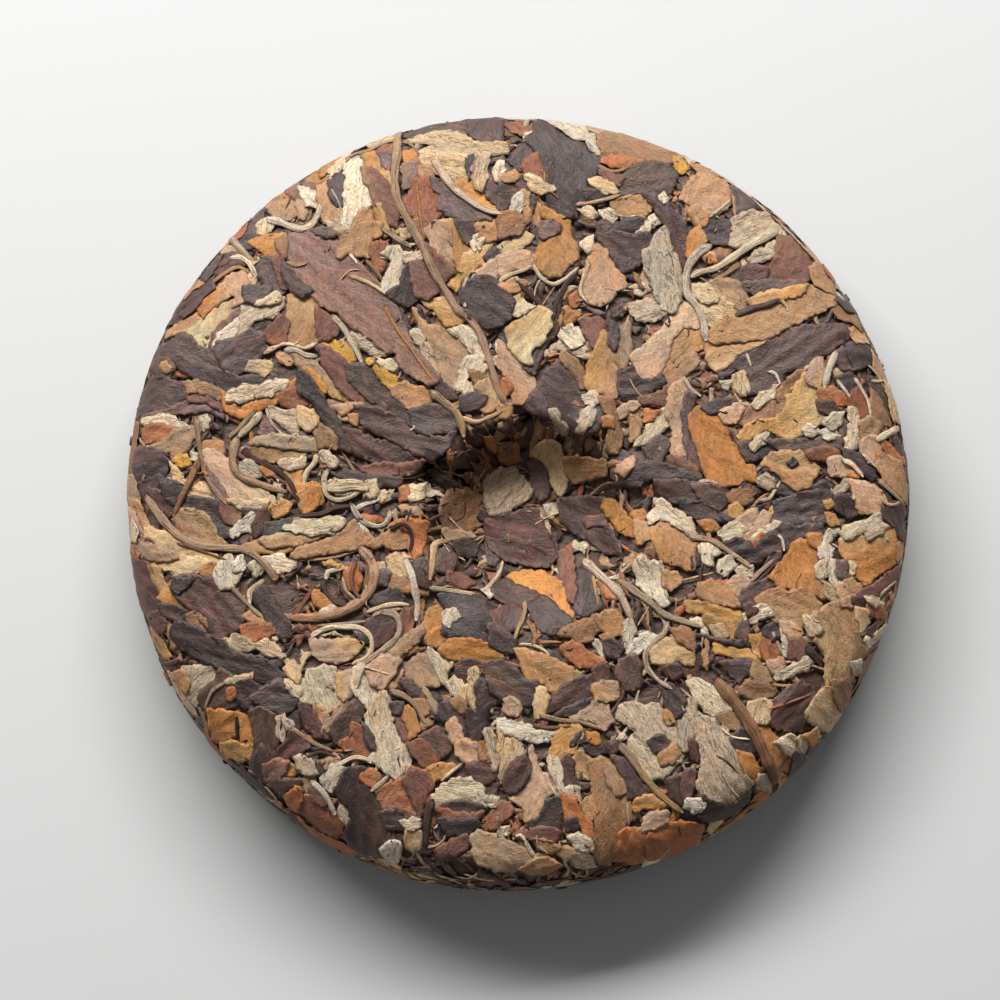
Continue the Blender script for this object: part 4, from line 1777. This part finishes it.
def lay_leaf(face, pieces, outline, colour, spacing, draw,
             grow=TRACED_GROWTH, torn_by=TRACED_TEAR, lift=None, stiff=LEAF_STIFFNESS):
    """Lays one leaf on what is there: it bends over it, keeps its own creases and lifts along one side."""
    name = kind_of(colour)
    kind = KINDS[name]
    if area_of(outline) < 0:
        outline = outline[::-1]
    outline = softened(outline, spacing * OUTLINE_STEP, CORNER_ROUNDING)
    outline = torn(outline, grow, torn_by * kind["ragged"] * min(1.0, spacing), draw)
    middle, axis = main_axis(outline)
    aside = np.array([-axis[1], axis[0]])
    points, triangles = net(outline, inner_points(outline, axis, spacing, draw))
    if len(triangles) < 2:
        return
    size = math.sqrt(abs(area_of(outline)))
    calm = min(1.0, SMALLEST_CALM + size / CALM_SIZE)
    if lift is None:
        lift = draw.uniform(*LIFT_RANGE) * calm * kind["lift"]
    cells, first, (gx, gy) = face.window(outline.min(axis=0), outline.max(axis=0))
    below = face.height[cells]
    mask = inside(outline, gx, gy)
    if not mask.any():
        return
    half = [max(1.0, float(np.abs((outline - middle) @ way).max())) for way in (axis, aside)]
    u = (gx - middle[0]) * axis[0] + (gy - middle[1]) * axis[1]
    v = (gx - middle[0]) * aside[0] + (gy - middle[1]) * aside[1]
    bed = leaf_bed(below, mask, stiff + int(size / STIFFER_WITH_SIZE))
    top = leaf_top(bed, mask, u, v, half, size, calm, lift, kind, draw)
    face.height[cells] = np.where(mask, np.maximum(top, below), below)
    height = bilinear(top, *face.in_cells(points[:, 0], points[:, 1], first))
    faces, sides, border = shell(triangles, len(points))
    batches = [points[start:start + BATCH] for start in range(0, len(points), BATCH)]
    edge = np.concatenate([nearest(batch, points[border]) for batch in batches])
    pu, pv = (points - middle) @ axis, (points - middle) @ aside
    share = sloped(pu, pv, half, *COLOUR_SLOPE, draw) * SECOND_COLOUR
    pieces[name].add(
        face,
        np.tile(points[:, 0], 2),
        np.tile(points[:, 1], 2),
        np.concatenate([height, height - kind["thick"]]),
        faces,
        sides,
        np.tile(np.stack([pu, pv, edge], axis=-1), (2, 1)),
        np.tile(tints(colour, face.rim_light(middle), share, draw), (2, 1)),
    )


def stem_radius(travelled, diameter, draw):
    """A stem's radius along it: it tapers, narrows at its tips and has slow swellings."""
    share = travelled / travelled[-1]
    to_end = np.minimum(travelled, travelled[-1] - travelled)
    ends = np.clip(to_end / (STEM_TIP_LENGTH * diameter), 0, 1) ** 0.5
    radius = diameter / 2 * (STEM_TIP + (1 - STEM_TIP) * ends) * (1 - (1 - STEM_TAPER) * share)
    for length in SWELLING_LENGTHS:
        phase = draw.uniform(*ANY_PHASE)
        radius = radius * (1 + SWELLING * np.sin(2 * math.pi * travelled / length + phase))
    return radius


def stem_bed(below, x, y, diameter):
    """How high a stem's bed is along its path, smoothed as far as the stem is stiff."""
    bed = bilinear(blurred(below, max(1, round(diameter / CELL / 2))), x, y)
    width = max(1, round(STEM_STIFFNESS / STEM_STEP))
    kernel = np.ones(2 * width + 1) / (2 * width + 1)
    return np.convolve(np.pad(bed, width, mode="edge"), kernel, mode="valid")


def tube_top(below, gx, gy, path, centre, radius):
    """A height field with the upper side of a tube laid in it."""
    top = below.copy()
    for (cx, cy), level, reach in zip(path, centre, radius):
        away = np.hypot(gx - cx, gy - cy)
        near = away < reach
        top[near] = np.maximum(top[near], level + np.sqrt(reach ** 2 - away[near] ** 2))
    return top


def tube_faces(count, sides):
    """The triangles of a closed tube: strips between its ridges, and a fan at each end."""
    faces = []
    for k in range(sides):
        j = (k + 1) % sides
        here, there = k * count + np.arange(count - 1), j * count + np.arange(count - 1)
        faces.append(np.stack([here, here + 1, there + 1], axis=-1))
        faces.append(np.stack([here, there + 1, there], axis=-1))
    for ring, flip in ((0, False), (count - 1, True)):
        fan = [(ring, (k + 1) * count + ring, k * count + ring) for k in range(1, sides - 1)]
        faces.append(np.array([f[::-1] for f in fan] if flip else fan))
    return np.concatenate(faces)[:, ::-1]


def lay_stem(face, pieces, places, diameter, colour, draw, sides=STEM_SIDES):
    """Lays a stem or a curl along a path: an uneven tube, half sunk in what is there."""
    path = smooth_path(places, STEM_STEP)
    if len(path) < 3:
        return
    along = np.gradient(path, axis=0)
    along /= np.maximum(np.linalg.norm(along, axis=1, keepdims=True), 1e-6)
    aside = np.stack([-along[:, 1], along[:, 0]], axis=-1)
    travelled = np.concatenate([[0], np.cumsum(np.linalg.norm(np.diff(path, axis=0), axis=1))])
    radius = stem_radius(travelled, diameter, draw)
    cells, first, (gx, gy) = face.window(path.min(axis=0) - diameter, path.max(axis=0) + diameter)
    below = face.height[cells]
    bed = stem_bed(below, *face.in_cells(path[:, 0], path[:, 1], first), diameter)
    centre = bed + radius * STEM_RIDE + STEM_GAP
    face.height[cells] = tube_top(below, gx, gy, path, centre, radius)
    ridges = []
    for k in range(sides):
        ridge = 1 + STEM_RIDGE * math.sin(3 * k + draw.uniform(*ANY_PHASE))
        ridges.append(ridge + draw.uniform(-STEM_ROUGHNESS, STEM_ROUGHNESS))
    twist = draw.uniform(-STEM_TWIST, STEM_TWIST)
    x, y, height, grain = [], [], [], []
    for k in range(sides):
        turn = 2 * math.pi * k / sides + twist * travelled
        reach = radius * ridges[k]
        x.append(path[:, 0] + aside[:, 0] * reach * np.cos(turn))
        y.append(path[:, 1] + aside[:, 1] * reach * np.cos(turn))
        height.append(centre + reach * STEM_FLATNESS * np.sin(turn))
        ridge_grain = np.full(len(path), k * diameter * STEM_GRAIN)
        grain.append(np.stack([travelled, ridge_grain, np.full(len(path), NO_BORDER)], axis=-1))
    faces = tube_faces(len(path), sides)
    share = np.tile(STEM_SECOND_COLOUR * (travelled / travelled[-1]), sides)
    pieces["stem"].add(
        face,
        np.concatenate(x),
        np.concatenate(y),
        np.concatenate(height),
        faces,
        np.zeros(len(faces), dtype=bool),
        np.concatenate(grain),
        tints(colour, face.rim_light(path[len(path) // 2]), share, draw),
    )


def scrap_outline(half, draw):
    """A scrap of leaf with corners all round."""
    corners = draw.randint(*SCRAP_CORNERS)
    turns = [
        2 * math.pi * (k + draw.uniform(-SCRAP_SWING, SCRAP_SWING)) / corners for k in range(corners)
    ]
    slim = draw.uniform(*SCRAP_SLIMNESS)
    reaches = [half * draw.uniform(*SCRAP_REACHES) for _ in turns]
    return np.array([(r * math.cos(t), slim * r * math.sin(t)) for t, r in zip(turns, reaches)])


def random_outline(size, draw):
    """A torn bit of leaf about the origin: a blade, a slab, a sliver, or a scrap with corners all round."""
    form = draw.choice(FORMS)
    half = size / 2
    if form == "scrap":
        return scrap_outline(half, draw)
    upper, lower = [], []
    bend = draw.uniform(-OUTLINE_BEND, OUTLINE_BEND) * size
    slip = OUTLINE_SLIP * size
    for k in range(OUTLINE_STEPS + 1):
        share = k / OUTLINE_STEPS
        if form == "blade":
            swelling = math.sin(math.pi * (BLADE_SPAN[0] + BLADE_SPAN[1] * share))
            wide = BLADE_TIP + (1 - BLADE_TIP) * swelling
        else:
            wide = draw.uniform(*SLAB_WIDTHS)
        curve = bend * math.sin(math.pi * share)
        reach = half * SLIMNESS[form] * wide
        x = half * (2 * share - 1)
        upper.append((x + draw.uniform(-slip, slip), curve + reach * draw.uniform(*EDGE_REACHES)))
        lower.append((x + draw.uniform(-slip, slip), curve - reach * draw.uniform(*EDGE_REACHES)))
    return np.array(lower + upper[::-1])


def placed(outline, angle, place):
    """An outline turned by an angle and moved to a place."""
    cos, sin = math.cos(angle), math.sin(angle)
    return outline @ np.array([[cos, sin], [-sin, cos]]) + np.asarray(place)


def scatter(face, pieces, draw, reach, count, sizes, palette, spacing, ring=0.0, aligned=False, **laid):
    """Lays random leaves over a face, between a ring and a reach from its middle."""
    names, weights = list(palette), list(palette.values())
    smaller = (sizes[0], sizes[0] * 0.5 + sizes[1] * 0.5)
    for _ in range(count):
        away = math.sqrt(draw.uniform(ring ** 2, reach ** 2))
        angle = draw.uniform(-math.pi, math.pi)
        size = draw.uniform(*sizes) if draw.random() < LARGE_SHARE else draw.uniform(*smaller)
        if aligned:
            turn = angle + math.pi / 2 + draw.gauss(0, ALIGNED_SPREAD)
        else:
            turn = draw.uniform(0, math.pi)
        outline = placed(random_outline(size, draw), turn, (away * math.cos(angle), away * math.sin(angle)))
        colour = draw.choices(names, weights)[0]
        lay_leaf(face, pieces, outline, colour, spacing, draw, grow=0.0, torn_by=1.0, **laid)


def scatter_stems(face, pieces, draw, reach, count, lengths, diameters, palette):
    """Lays random stems and hairs over a face, up to a reach from its middle."""
    names, weights = list(palette), list(palette.values())
    for _ in range(count):
        away, angle = reach * math.sqrt(draw.random()), draw.uniform(-math.pi, math.pi)
        turn, length = draw.uniform(0, 2 * math.pi), draw.uniform(*lengths)
        bend = draw.uniform(-STEM_BEND, STEM_BEND) * length
        middle = np.array([away * math.cos(angle), away * math.sin(angle)])
        ahead = np.array([math.cos(turn), math.sin(turn)])
        aside = np.array([-ahead[1], ahead[0]])
        places = [middle - ahead * length / 2, middle + aside * bend, middle + ahead * length / 2]
        colour = draw.choices(names, weights)[0]
        diameter = draw.uniform(*diameters)
        sides = STEM_SIDES if diameter > THICKEST_HAIR else HAIR_SIDES
        lay_stem(face, pieces, places, diameter, colour, draw, sides)


def numbers_in(word):
    """The numbers in a word of a table, as a group."""
    return tuple(float(v) for v in word.split(","))


def traced_in(text):
    """Each leaf or stem in a table: its colour and the groups of numbers after it."""
    found = []
    for word in text.split():
        if word in COLOURS:
            found.append((word, []))
        else:
            found[-1][1].append(numbers_in(word))
    return found


def lay_upper_face(upper, bits, pieces, draw):
    """Fills the upper face and the side with loose bits, then lays what was traced from the photograph."""
    for layer in FACE_LAYERS:
        scatter(upper, bits, draw, REACH + FACE_OVERLAP, **layer)
    scatter_stems(upper, bits, draw, REACH, **FACE_STEMS)
    for layer in SIDE_LAYERS:
        scatter(upper, bits, draw, REACH + SIDE_BELOW, ring=REACH - SIDE_ABOVE, aligned=True, **layer)
    for region in TRACED_LEAVES.values():
        for colour, pixels in traced_in(region):
            lay_leaf(upper, pieces, chart_of_pixels(pixels), colour, TRACED_SPACING, draw)
    for region in TRACED_STEMS.values():
        for colour, ((width,), *pixels) in traced_in(region):
            lay_stem(upper, pieces, chart_of_pixels(pixels), width * PHOTO_MM, colour, draw)


def lay_crumbs(upper, pieces, draw):
    """Small bits and hairs on top of the face."""
    scatter(upper, pieces, draw, CRUMB_REACH, **CRUMBS)
    scatter_stems(upper, pieces, draw, CRUMB_REACH, **CRUMB_STEMS)


def lay_underside(lower, pieces, draw):
    """The flat underside, which the photograph doesn't show: the same leaves, lying every way."""
    for layer in UNDERSIDE_LAYERS:
        scatter(lower, pieces, draw, UNDERSIDE_REACH, **layer)
    scatter_stems(lower, pieces, draw, UNDERSIDE_STEM_REACH, **UNDERSIDE_STEMS)


def core_rings(upper, lower):
    """The core's points: the upper middle, the rings round the cake, and the lower middle."""
    turns = np.linspace(0, 2 * math.pi, CORE_SEGMENTS, endpoint=False)
    middle = np.zeros(1)
    rings = [upper.sunk_points(middle, middle, CORE_DEPTH)]
    for reach in np.linspace(0, REACH, CORE_UPPER_RINGS)[1:]:
        x, y = reach * np.cos(turns), reach * np.sin(turns)
        rings.append(upper.sunk_points(x, y, CORE_DEPTH + hollows(x, y)))
    for reach in np.linspace(FOOT_RADIUS + LOWER[0][-1], 0, CORE_LOWER_RINGS)[:-1]:
        x, y = -reach * np.cos(turns), reach * np.sin(turns)
        rings.append(lower.sunk_points(x, y, CORE_DEPTH))
    rings.append(lower.sunk_points(middle, middle, CORE_DEPTH))
    return rings


def core_object(upper, lower, material):
    """The dark mass of leaf under the laid ones: the cake's own form, a little smaller."""
    rings = core_rings(upper, lower)
    points = np.concatenate(rings)
    here = np.arange(CORE_SEGMENTS)
    there = (here + 1) % CORE_SEGMENTS
    faces = []
    for k in range(len(rings) - 3):
        a, b = 1 + k * CORE_SEGMENTS, 1 + (k + 1) * CORE_SEGMENTS
        faces.append(np.stack([a + here, b + here, b + there], axis=-1))
        faces.append(np.stack([a + here, b + there, a + there], axis=-1))
    last = len(points) - 1
    end = last - CORE_SEGMENTS
    faces.append(np.stack([np.zeros(CORE_SEGMENTS, dtype=int), 1 + here, 1 + there], axis=-1))
    faces.append(np.stack([end + there, end + here, np.full(CORE_SEGMENTS, last)], axis=-1))
    faces = np.concatenate(faces)
    grain = points * np.array([1, 1, 0]) + np.array([0, 0, NO_BORDER])
    tint = np.tile(np.append(shade_of(CORE_COLOUR), 0.5), (len(points), 1))
    flat = np.zeros(len(faces), dtype=bool)
    return mesh_object("pressed_core", points * METRE, faces, flat, grain, tint, material)


class Nodes:
    """A material's nodes, written in the order in which they work."""

    def __init__(self, name):
        self.material = bpy.data.materials.new(name)
        self.material.use_nodes = True
        self.tree = self.material.node_tree
        self.tree.nodes.clear()
        self.output = self.tree.nodes.new("ShaderNodeOutputMaterial")
        self.shader = self.tree.nodes.new("ShaderNodeBsdfPrincipled")
        self.tree.links.new(self.shader.outputs["BSDF"], self.output.inputs["Surface"])

    def put(self, value, socket):
        """Links a socket to another one, or sets it to a value."""
        if isinstance(value, bpy.types.NodeSocket):
            self.tree.links.new(value, socket)
        elif isinstance(value, (int, float)) and socket.type in ("VECTOR", "RGBA"):
            socket.default_value = (value, value, value, 1)[:len(socket.default_value)]
        else:
            socket.default_value = value

    def math(self, operation, a, b=0.0, c=0.0):
        """One step of arithmetic."""
        node = self.tree.nodes.new("ShaderNodeMath")
        node.operation = operation
        for value, socket in zip((a, b, c), node.inputs):
            self.put(value, socket)
        return node.outputs[0]

    def times(self, a, b):
        """One value times another."""
        return self.math("MULTIPLY", a, b)

    def plus(self, a, b):
        """The sum of two values."""
        return self.math("ADD", a, b)

    def noise(self, place, scale, detail, rough, warp=0.0):
        """Cloudy noise of 0 to 1."""
        node = self.tree.nodes.new("ShaderNodeTexNoise")
        self.put(place, node.inputs["Vector"])
        self.put(scale, node.inputs["Scale"])
        self.put(detail, node.inputs["Detail"])
        self.put(rough, node.inputs["Roughness"])
        self.put(warp, node.inputs["Distortion"])
        return node.outputs["Fac"]

    def joined(self, x, y, z):
        """Three values as a place."""
        node = self.tree.nodes.new("ShaderNodeCombineXYZ")
        for value, socket in zip((x, y, z), node.inputs):
            self.put(value, socket)
        return node.outputs[0]

    def parted(self, place):
        """A place's three values."""
        node = self.tree.nodes.new("ShaderNodeSeparateXYZ")
        self.put(place, node.inputs[0])
        return node.outputs

    def scaled(self, vector, by):
        """A colour or a place times a value."""
        node = self.tree.nodes.new("ShaderNodeVectorMath")
        node.operation = "SCALE"
        self.put(vector, node.inputs[0])
        self.put(by, node.inputs["Scale"])
        return node.outputs[0]

    def cells_edge(self, place, scale):
        """How far a place is from the border of its cell, in a pattern of uneven cells."""
        node = self.tree.nodes.new("ShaderNodeTexVoronoi")
        node.feature = "DISTANCE_TO_EDGE"
        self.put(place, node.inputs["Vector"])
        self.put(scale, node.inputs["Scale"])
        return node.outputs["Distance"]

    def between(self, value, low, high, to_low=0.0, to_high=1.0):
        """A value that goes smoothly from one number to another as the given one goes from low to high."""
        node = self.tree.nodes.new("ShaderNodeMapRange")
        node.interpolation_type = "SMOOTHSTEP"
        for number, socket in zip((value, low, high, to_low, to_high), node.inputs):
            self.put(number, socket)
        return node.outputs[0]

    def mix(self, share, a, b, blend="MIX"):
        """The first colour, mixed with the second as far as the share says."""
        node = self.tree.nodes.new("ShaderNodeMix")
        node.data_type = "RGBA"
        node.blend_type = blend
        self.put(share, node.inputs["Factor"])
        self.put(a, node.inputs[6])
        self.put(b, node.inputs[7])
        return node.outputs[2]

    def attribute(self, name):
        """A mesh attribute's node."""
        node = self.tree.nodes.new("ShaderNodeAttribute")
        node.attribute_name = name
        return node

    def bump(self, height, strength, distance):
        """The normal of a surface with this relief."""
        node = self.tree.nodes.new("ShaderNodeBump")
        self.put(strength, node.inputs["Strength"])
        self.put(distance, node.inputs["Distance"])
        self.put(height, node.inputs["Height"])
        return node.outputs["Normal"]


def leaf_patterns(n, along, across, own, stretch):
    """The patterns on a leaf: its patches, threads, fine grain, slow lines, creases and side veins."""

    def place(stretch_along, stretch_across):
        return n.joined(n.times(along, stretch_along), n.times(across, stretch_across), own)

    patches = n.noise(place(*PATCH_PLACE), *PATCH_NOISE)
    threads = n.noise(place(stretch, THREAD_ACROSS), *THREAD_NOISE)
    fine = n.noise(place(*PATCH_PLACE), *FINE_NOISE)
    lines = n.noise(place(stretch * LINE_ALONG, 1.0), *LINE_NOISE)
    creases = n.between(n.math("ABSOLUTE", n.math("SUBTRACT", lines, 0.5)), 0.0, CREASE_WIDTH, 1.0, 0.0)
    slant = n.plus(n.math("ABSOLUTE", across), n.times(along, VEIN_SLANT))
    side_veins = n.cells_edge(n.joined(slant, n.times(across, VEIN_SPREAD), own), VEIN_SCALE)
    veins = n.between(n.plus(side_veins, n.times(fine, VEIN_UNEVENNESS)), *VEIN_WIDTH, 1.0, 0.0)
    return patches, threads, fine, lines, creases, veins


def leaf_colour(n, tint, border, patterns, look):
    """A leaf's colour: its own tint, blotched, fibred, creased, veined, flecked and worn at its edges."""
    patches, threads, fine, _, creases, veins = patterns
    blotch, fibre = look["blotch"], look["fibre"]
    light = n.between(patches, *PATCH_BAND, 1 - blotch, 1 + blotch * PATCH_LIGHTER)
    light = n.times(light, n.between(threads, *THREAD_BAND, 1 - fibre, 1 + fibre))
    grained = n.between(fine, *THREAD_BAND, 1 - fibre * FINE_DARKER, 1 + fibre * FINE_LIGHTER)
    light = n.times(light, grained)
    light = n.times(light, n.math("SUBTRACT", 1.0, n.times(creases, look["crease"])))
    turned = n.mix(1.0, tint, look["turned_by"], "MULTIPLY")
    colour = n.mix(n.between(patches, *TURNED_BAND, 0.0, look["turned"]), tint, turned)
    colour = n.mix(n.times(veins, look["vein"]), colour, n.mix(1.0, colour, VEIN_TINT, "MULTIPLY"))
    colour = n.scaled(colour, light)
    dark_flecks = n.between(fine, *DARK_FLECK_BAND, 0.0, look["fleck"])
    pale_flecks = n.between(fine, *PALE_FLECK_BAND, 0.0, look["fleck"] * PALE_FLECK_SHARE)
    colour = n.mix(pale_flecks, n.mix(dark_flecks, colour, FLECK_DARK), FLECK_PALE)
    worn = n.times(n.between(border, 0.0, EDGE_WIDTH, 1.0, 0.0), n.between(threads, *WORN_BAND))
    return n.mix(n.times(worn, look["edge"]), colour, EDGE_DARK)


def leaf_material(name, look):
    """Dried leaf or stem, as its look says."""
    n = Nodes(name)
    tint = n.attribute("tint")
    along, across, border = n.parted(n.attribute("grain").outputs["Vector"])
    own = n.times(tint.outputs["Alpha"], PATTERN_ROOM)
    patterns = leaf_patterns(n, along, across, own, look["stretch"])
    _, threads, fine, lines, creases, veins = patterns
    n.put(leaf_colour(n, tint.outputs["Color"], border, patterns, look), n.shader.inputs["Base Color"])
    rough = n.between(fine, *ROUGH_BAND, look["rough"] - ROUGH_BELOW, look["rough"] + ROUGH_ABOVE)
    n.put(rough, n.shader.inputs["Roughness"])
    n.put(look["shine"], n.shader.inputs["Specular IOR Level"])
    height = n.times(threads, BUMP_THREADS)
    for pattern, share in (
        (lines, BUMP_LINES), (fine, BUMP_FINE), (creases, BUMP_CREASES), (veins, look["vein"] * BUMP_VEINS)
    ):
        height = n.plus(height, n.times(pattern, share))
    n.put(n.bump(height, look["relief"], BUMP_DISTANCE), n.shader.inputs["Normal"])
    return n.material


def add_floor():
    """A plain, pale table top."""
    n = Nodes("table_top")
    n.put(FLOOR_COLOUR, n.shader.inputs["Base Color"])
    n.put(FLOOR_ROUGHNESS, n.shader.inputs["Roughness"])
    n.put(FLOOR_SHINE, n.shader.inputs["Specular IOR Level"])
    side = FLOOR_HALF_SIDE
    mesh = bpy.data.meshes.new("table_top")
    corners = [(-side, -side, 0), (side, -side, 0), (side, side, 0), (-side, side, 0)]
    mesh.from_pydata(corners, [], [(0, 1, 2, 3)])
    mesh.materials.append(n.material)
    floor = bpy.data.objects.new("table_top", mesh)
    bpy.context.scene.collection.objects.link(floor)


def add_light():
    """One large soft lamp beyond the top of the picture and a weak, even fill."""
    centre = Vector((0, 0, RIM_HEIGHT * METRE))
    back = Vector((
        math.cos(KEY_ELEVATION) * math.cos(KEY_AZIMUTH),
        math.cos(KEY_ELEVATION) * math.sin(KEY_AZIMUTH),
        math.sin(KEY_ELEVATION),
    ))
    lamp = bpy.data.lights.new("window", "AREA")
    lamp.shape = "RECTANGLE"
    lamp.size, lamp.size_y = KEY_SIZE
    lamp.energy = KEY_POWER
    lamp.color = KEY_COLOUR
    key = bpy.data.objects.new("window", lamp)
    key.location = centre + back * KEY_DISTANCE
    key.rotation_euler = (-back).to_track_quat("-Z", "Y").to_euler()
    bpy.context.scene.collection.objects.link(key)
    world = bpy.data.worlds.new("room")
    world.use_nodes = True
    background = world.node_tree.nodes["Background"]
    background.inputs["Color"].default_value = (*FILL_COLOUR, 1)
    background.inputs["Strength"].default_value = FILL_STRENGTH
    bpy.context.scene.world = world


def add_camera():
    """The photograph's camera."""
    eye, _, _, ahead = camera_frame()
    lens = bpy.data.cameras.new("camera")
    lens.lens = CAMERA_LENS
    lens.sensor_width = CAMERA_SENSOR
    lens.clip_start = CAMERA_NEAR
    camera = bpy.data.objects.new("camera", lens)
    camera.location = Vector(eye * METRE)
    camera.rotation_euler = Vector(ahead).to_track_quat("-Z", "Y").to_euler()
    bpy.context.scene.collection.objects.link(camera)
    bpy.context.scene.camera = camera


def add_cake():
    """The cake: a dark core, and over it the loose bits, the traced leaves and the underside's leaves."""
    draw = random.Random(SEED)
    upper = Face(FACE_EXTENT, upper_points, SURFACE_OFFSET, RIM_SHADE)
    lower = Face(UNDERSIDE_EXTENT, lower_points, UNDERSIDE_OFFSET, 0.0)
    upper.height -= hollows(*upper.places())
    bits, leaves, under = (
        {kind: Piece(layer + kind) for kind in LOOKS} for layer in ("bits_", "leaves_", "underside_")
    )
    lay_upper_face(upper, bits, leaves, draw)
    lay_crumbs(upper, bits, draw)
    lay_underside(lower, under, draw)
    upper.finish()
    lower.finish()
    materials = {name: leaf_material("leaf_" + name, look) for name, look in LOOKS.items()}
    made = [core_object(upper, lower, materials["dark"])]
    for pieces in (bits, leaves, under):
        made.extend(piece.make(materials[name]) for name, piece in pieces.items() if piece.parts)
    for piece in made:
        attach(piece, "root")
        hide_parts("tea_cake")


add_cake()
add_floor()
add_light()
add_camera()
bpy.context.scene.view_settings.view_transform = "Standard"
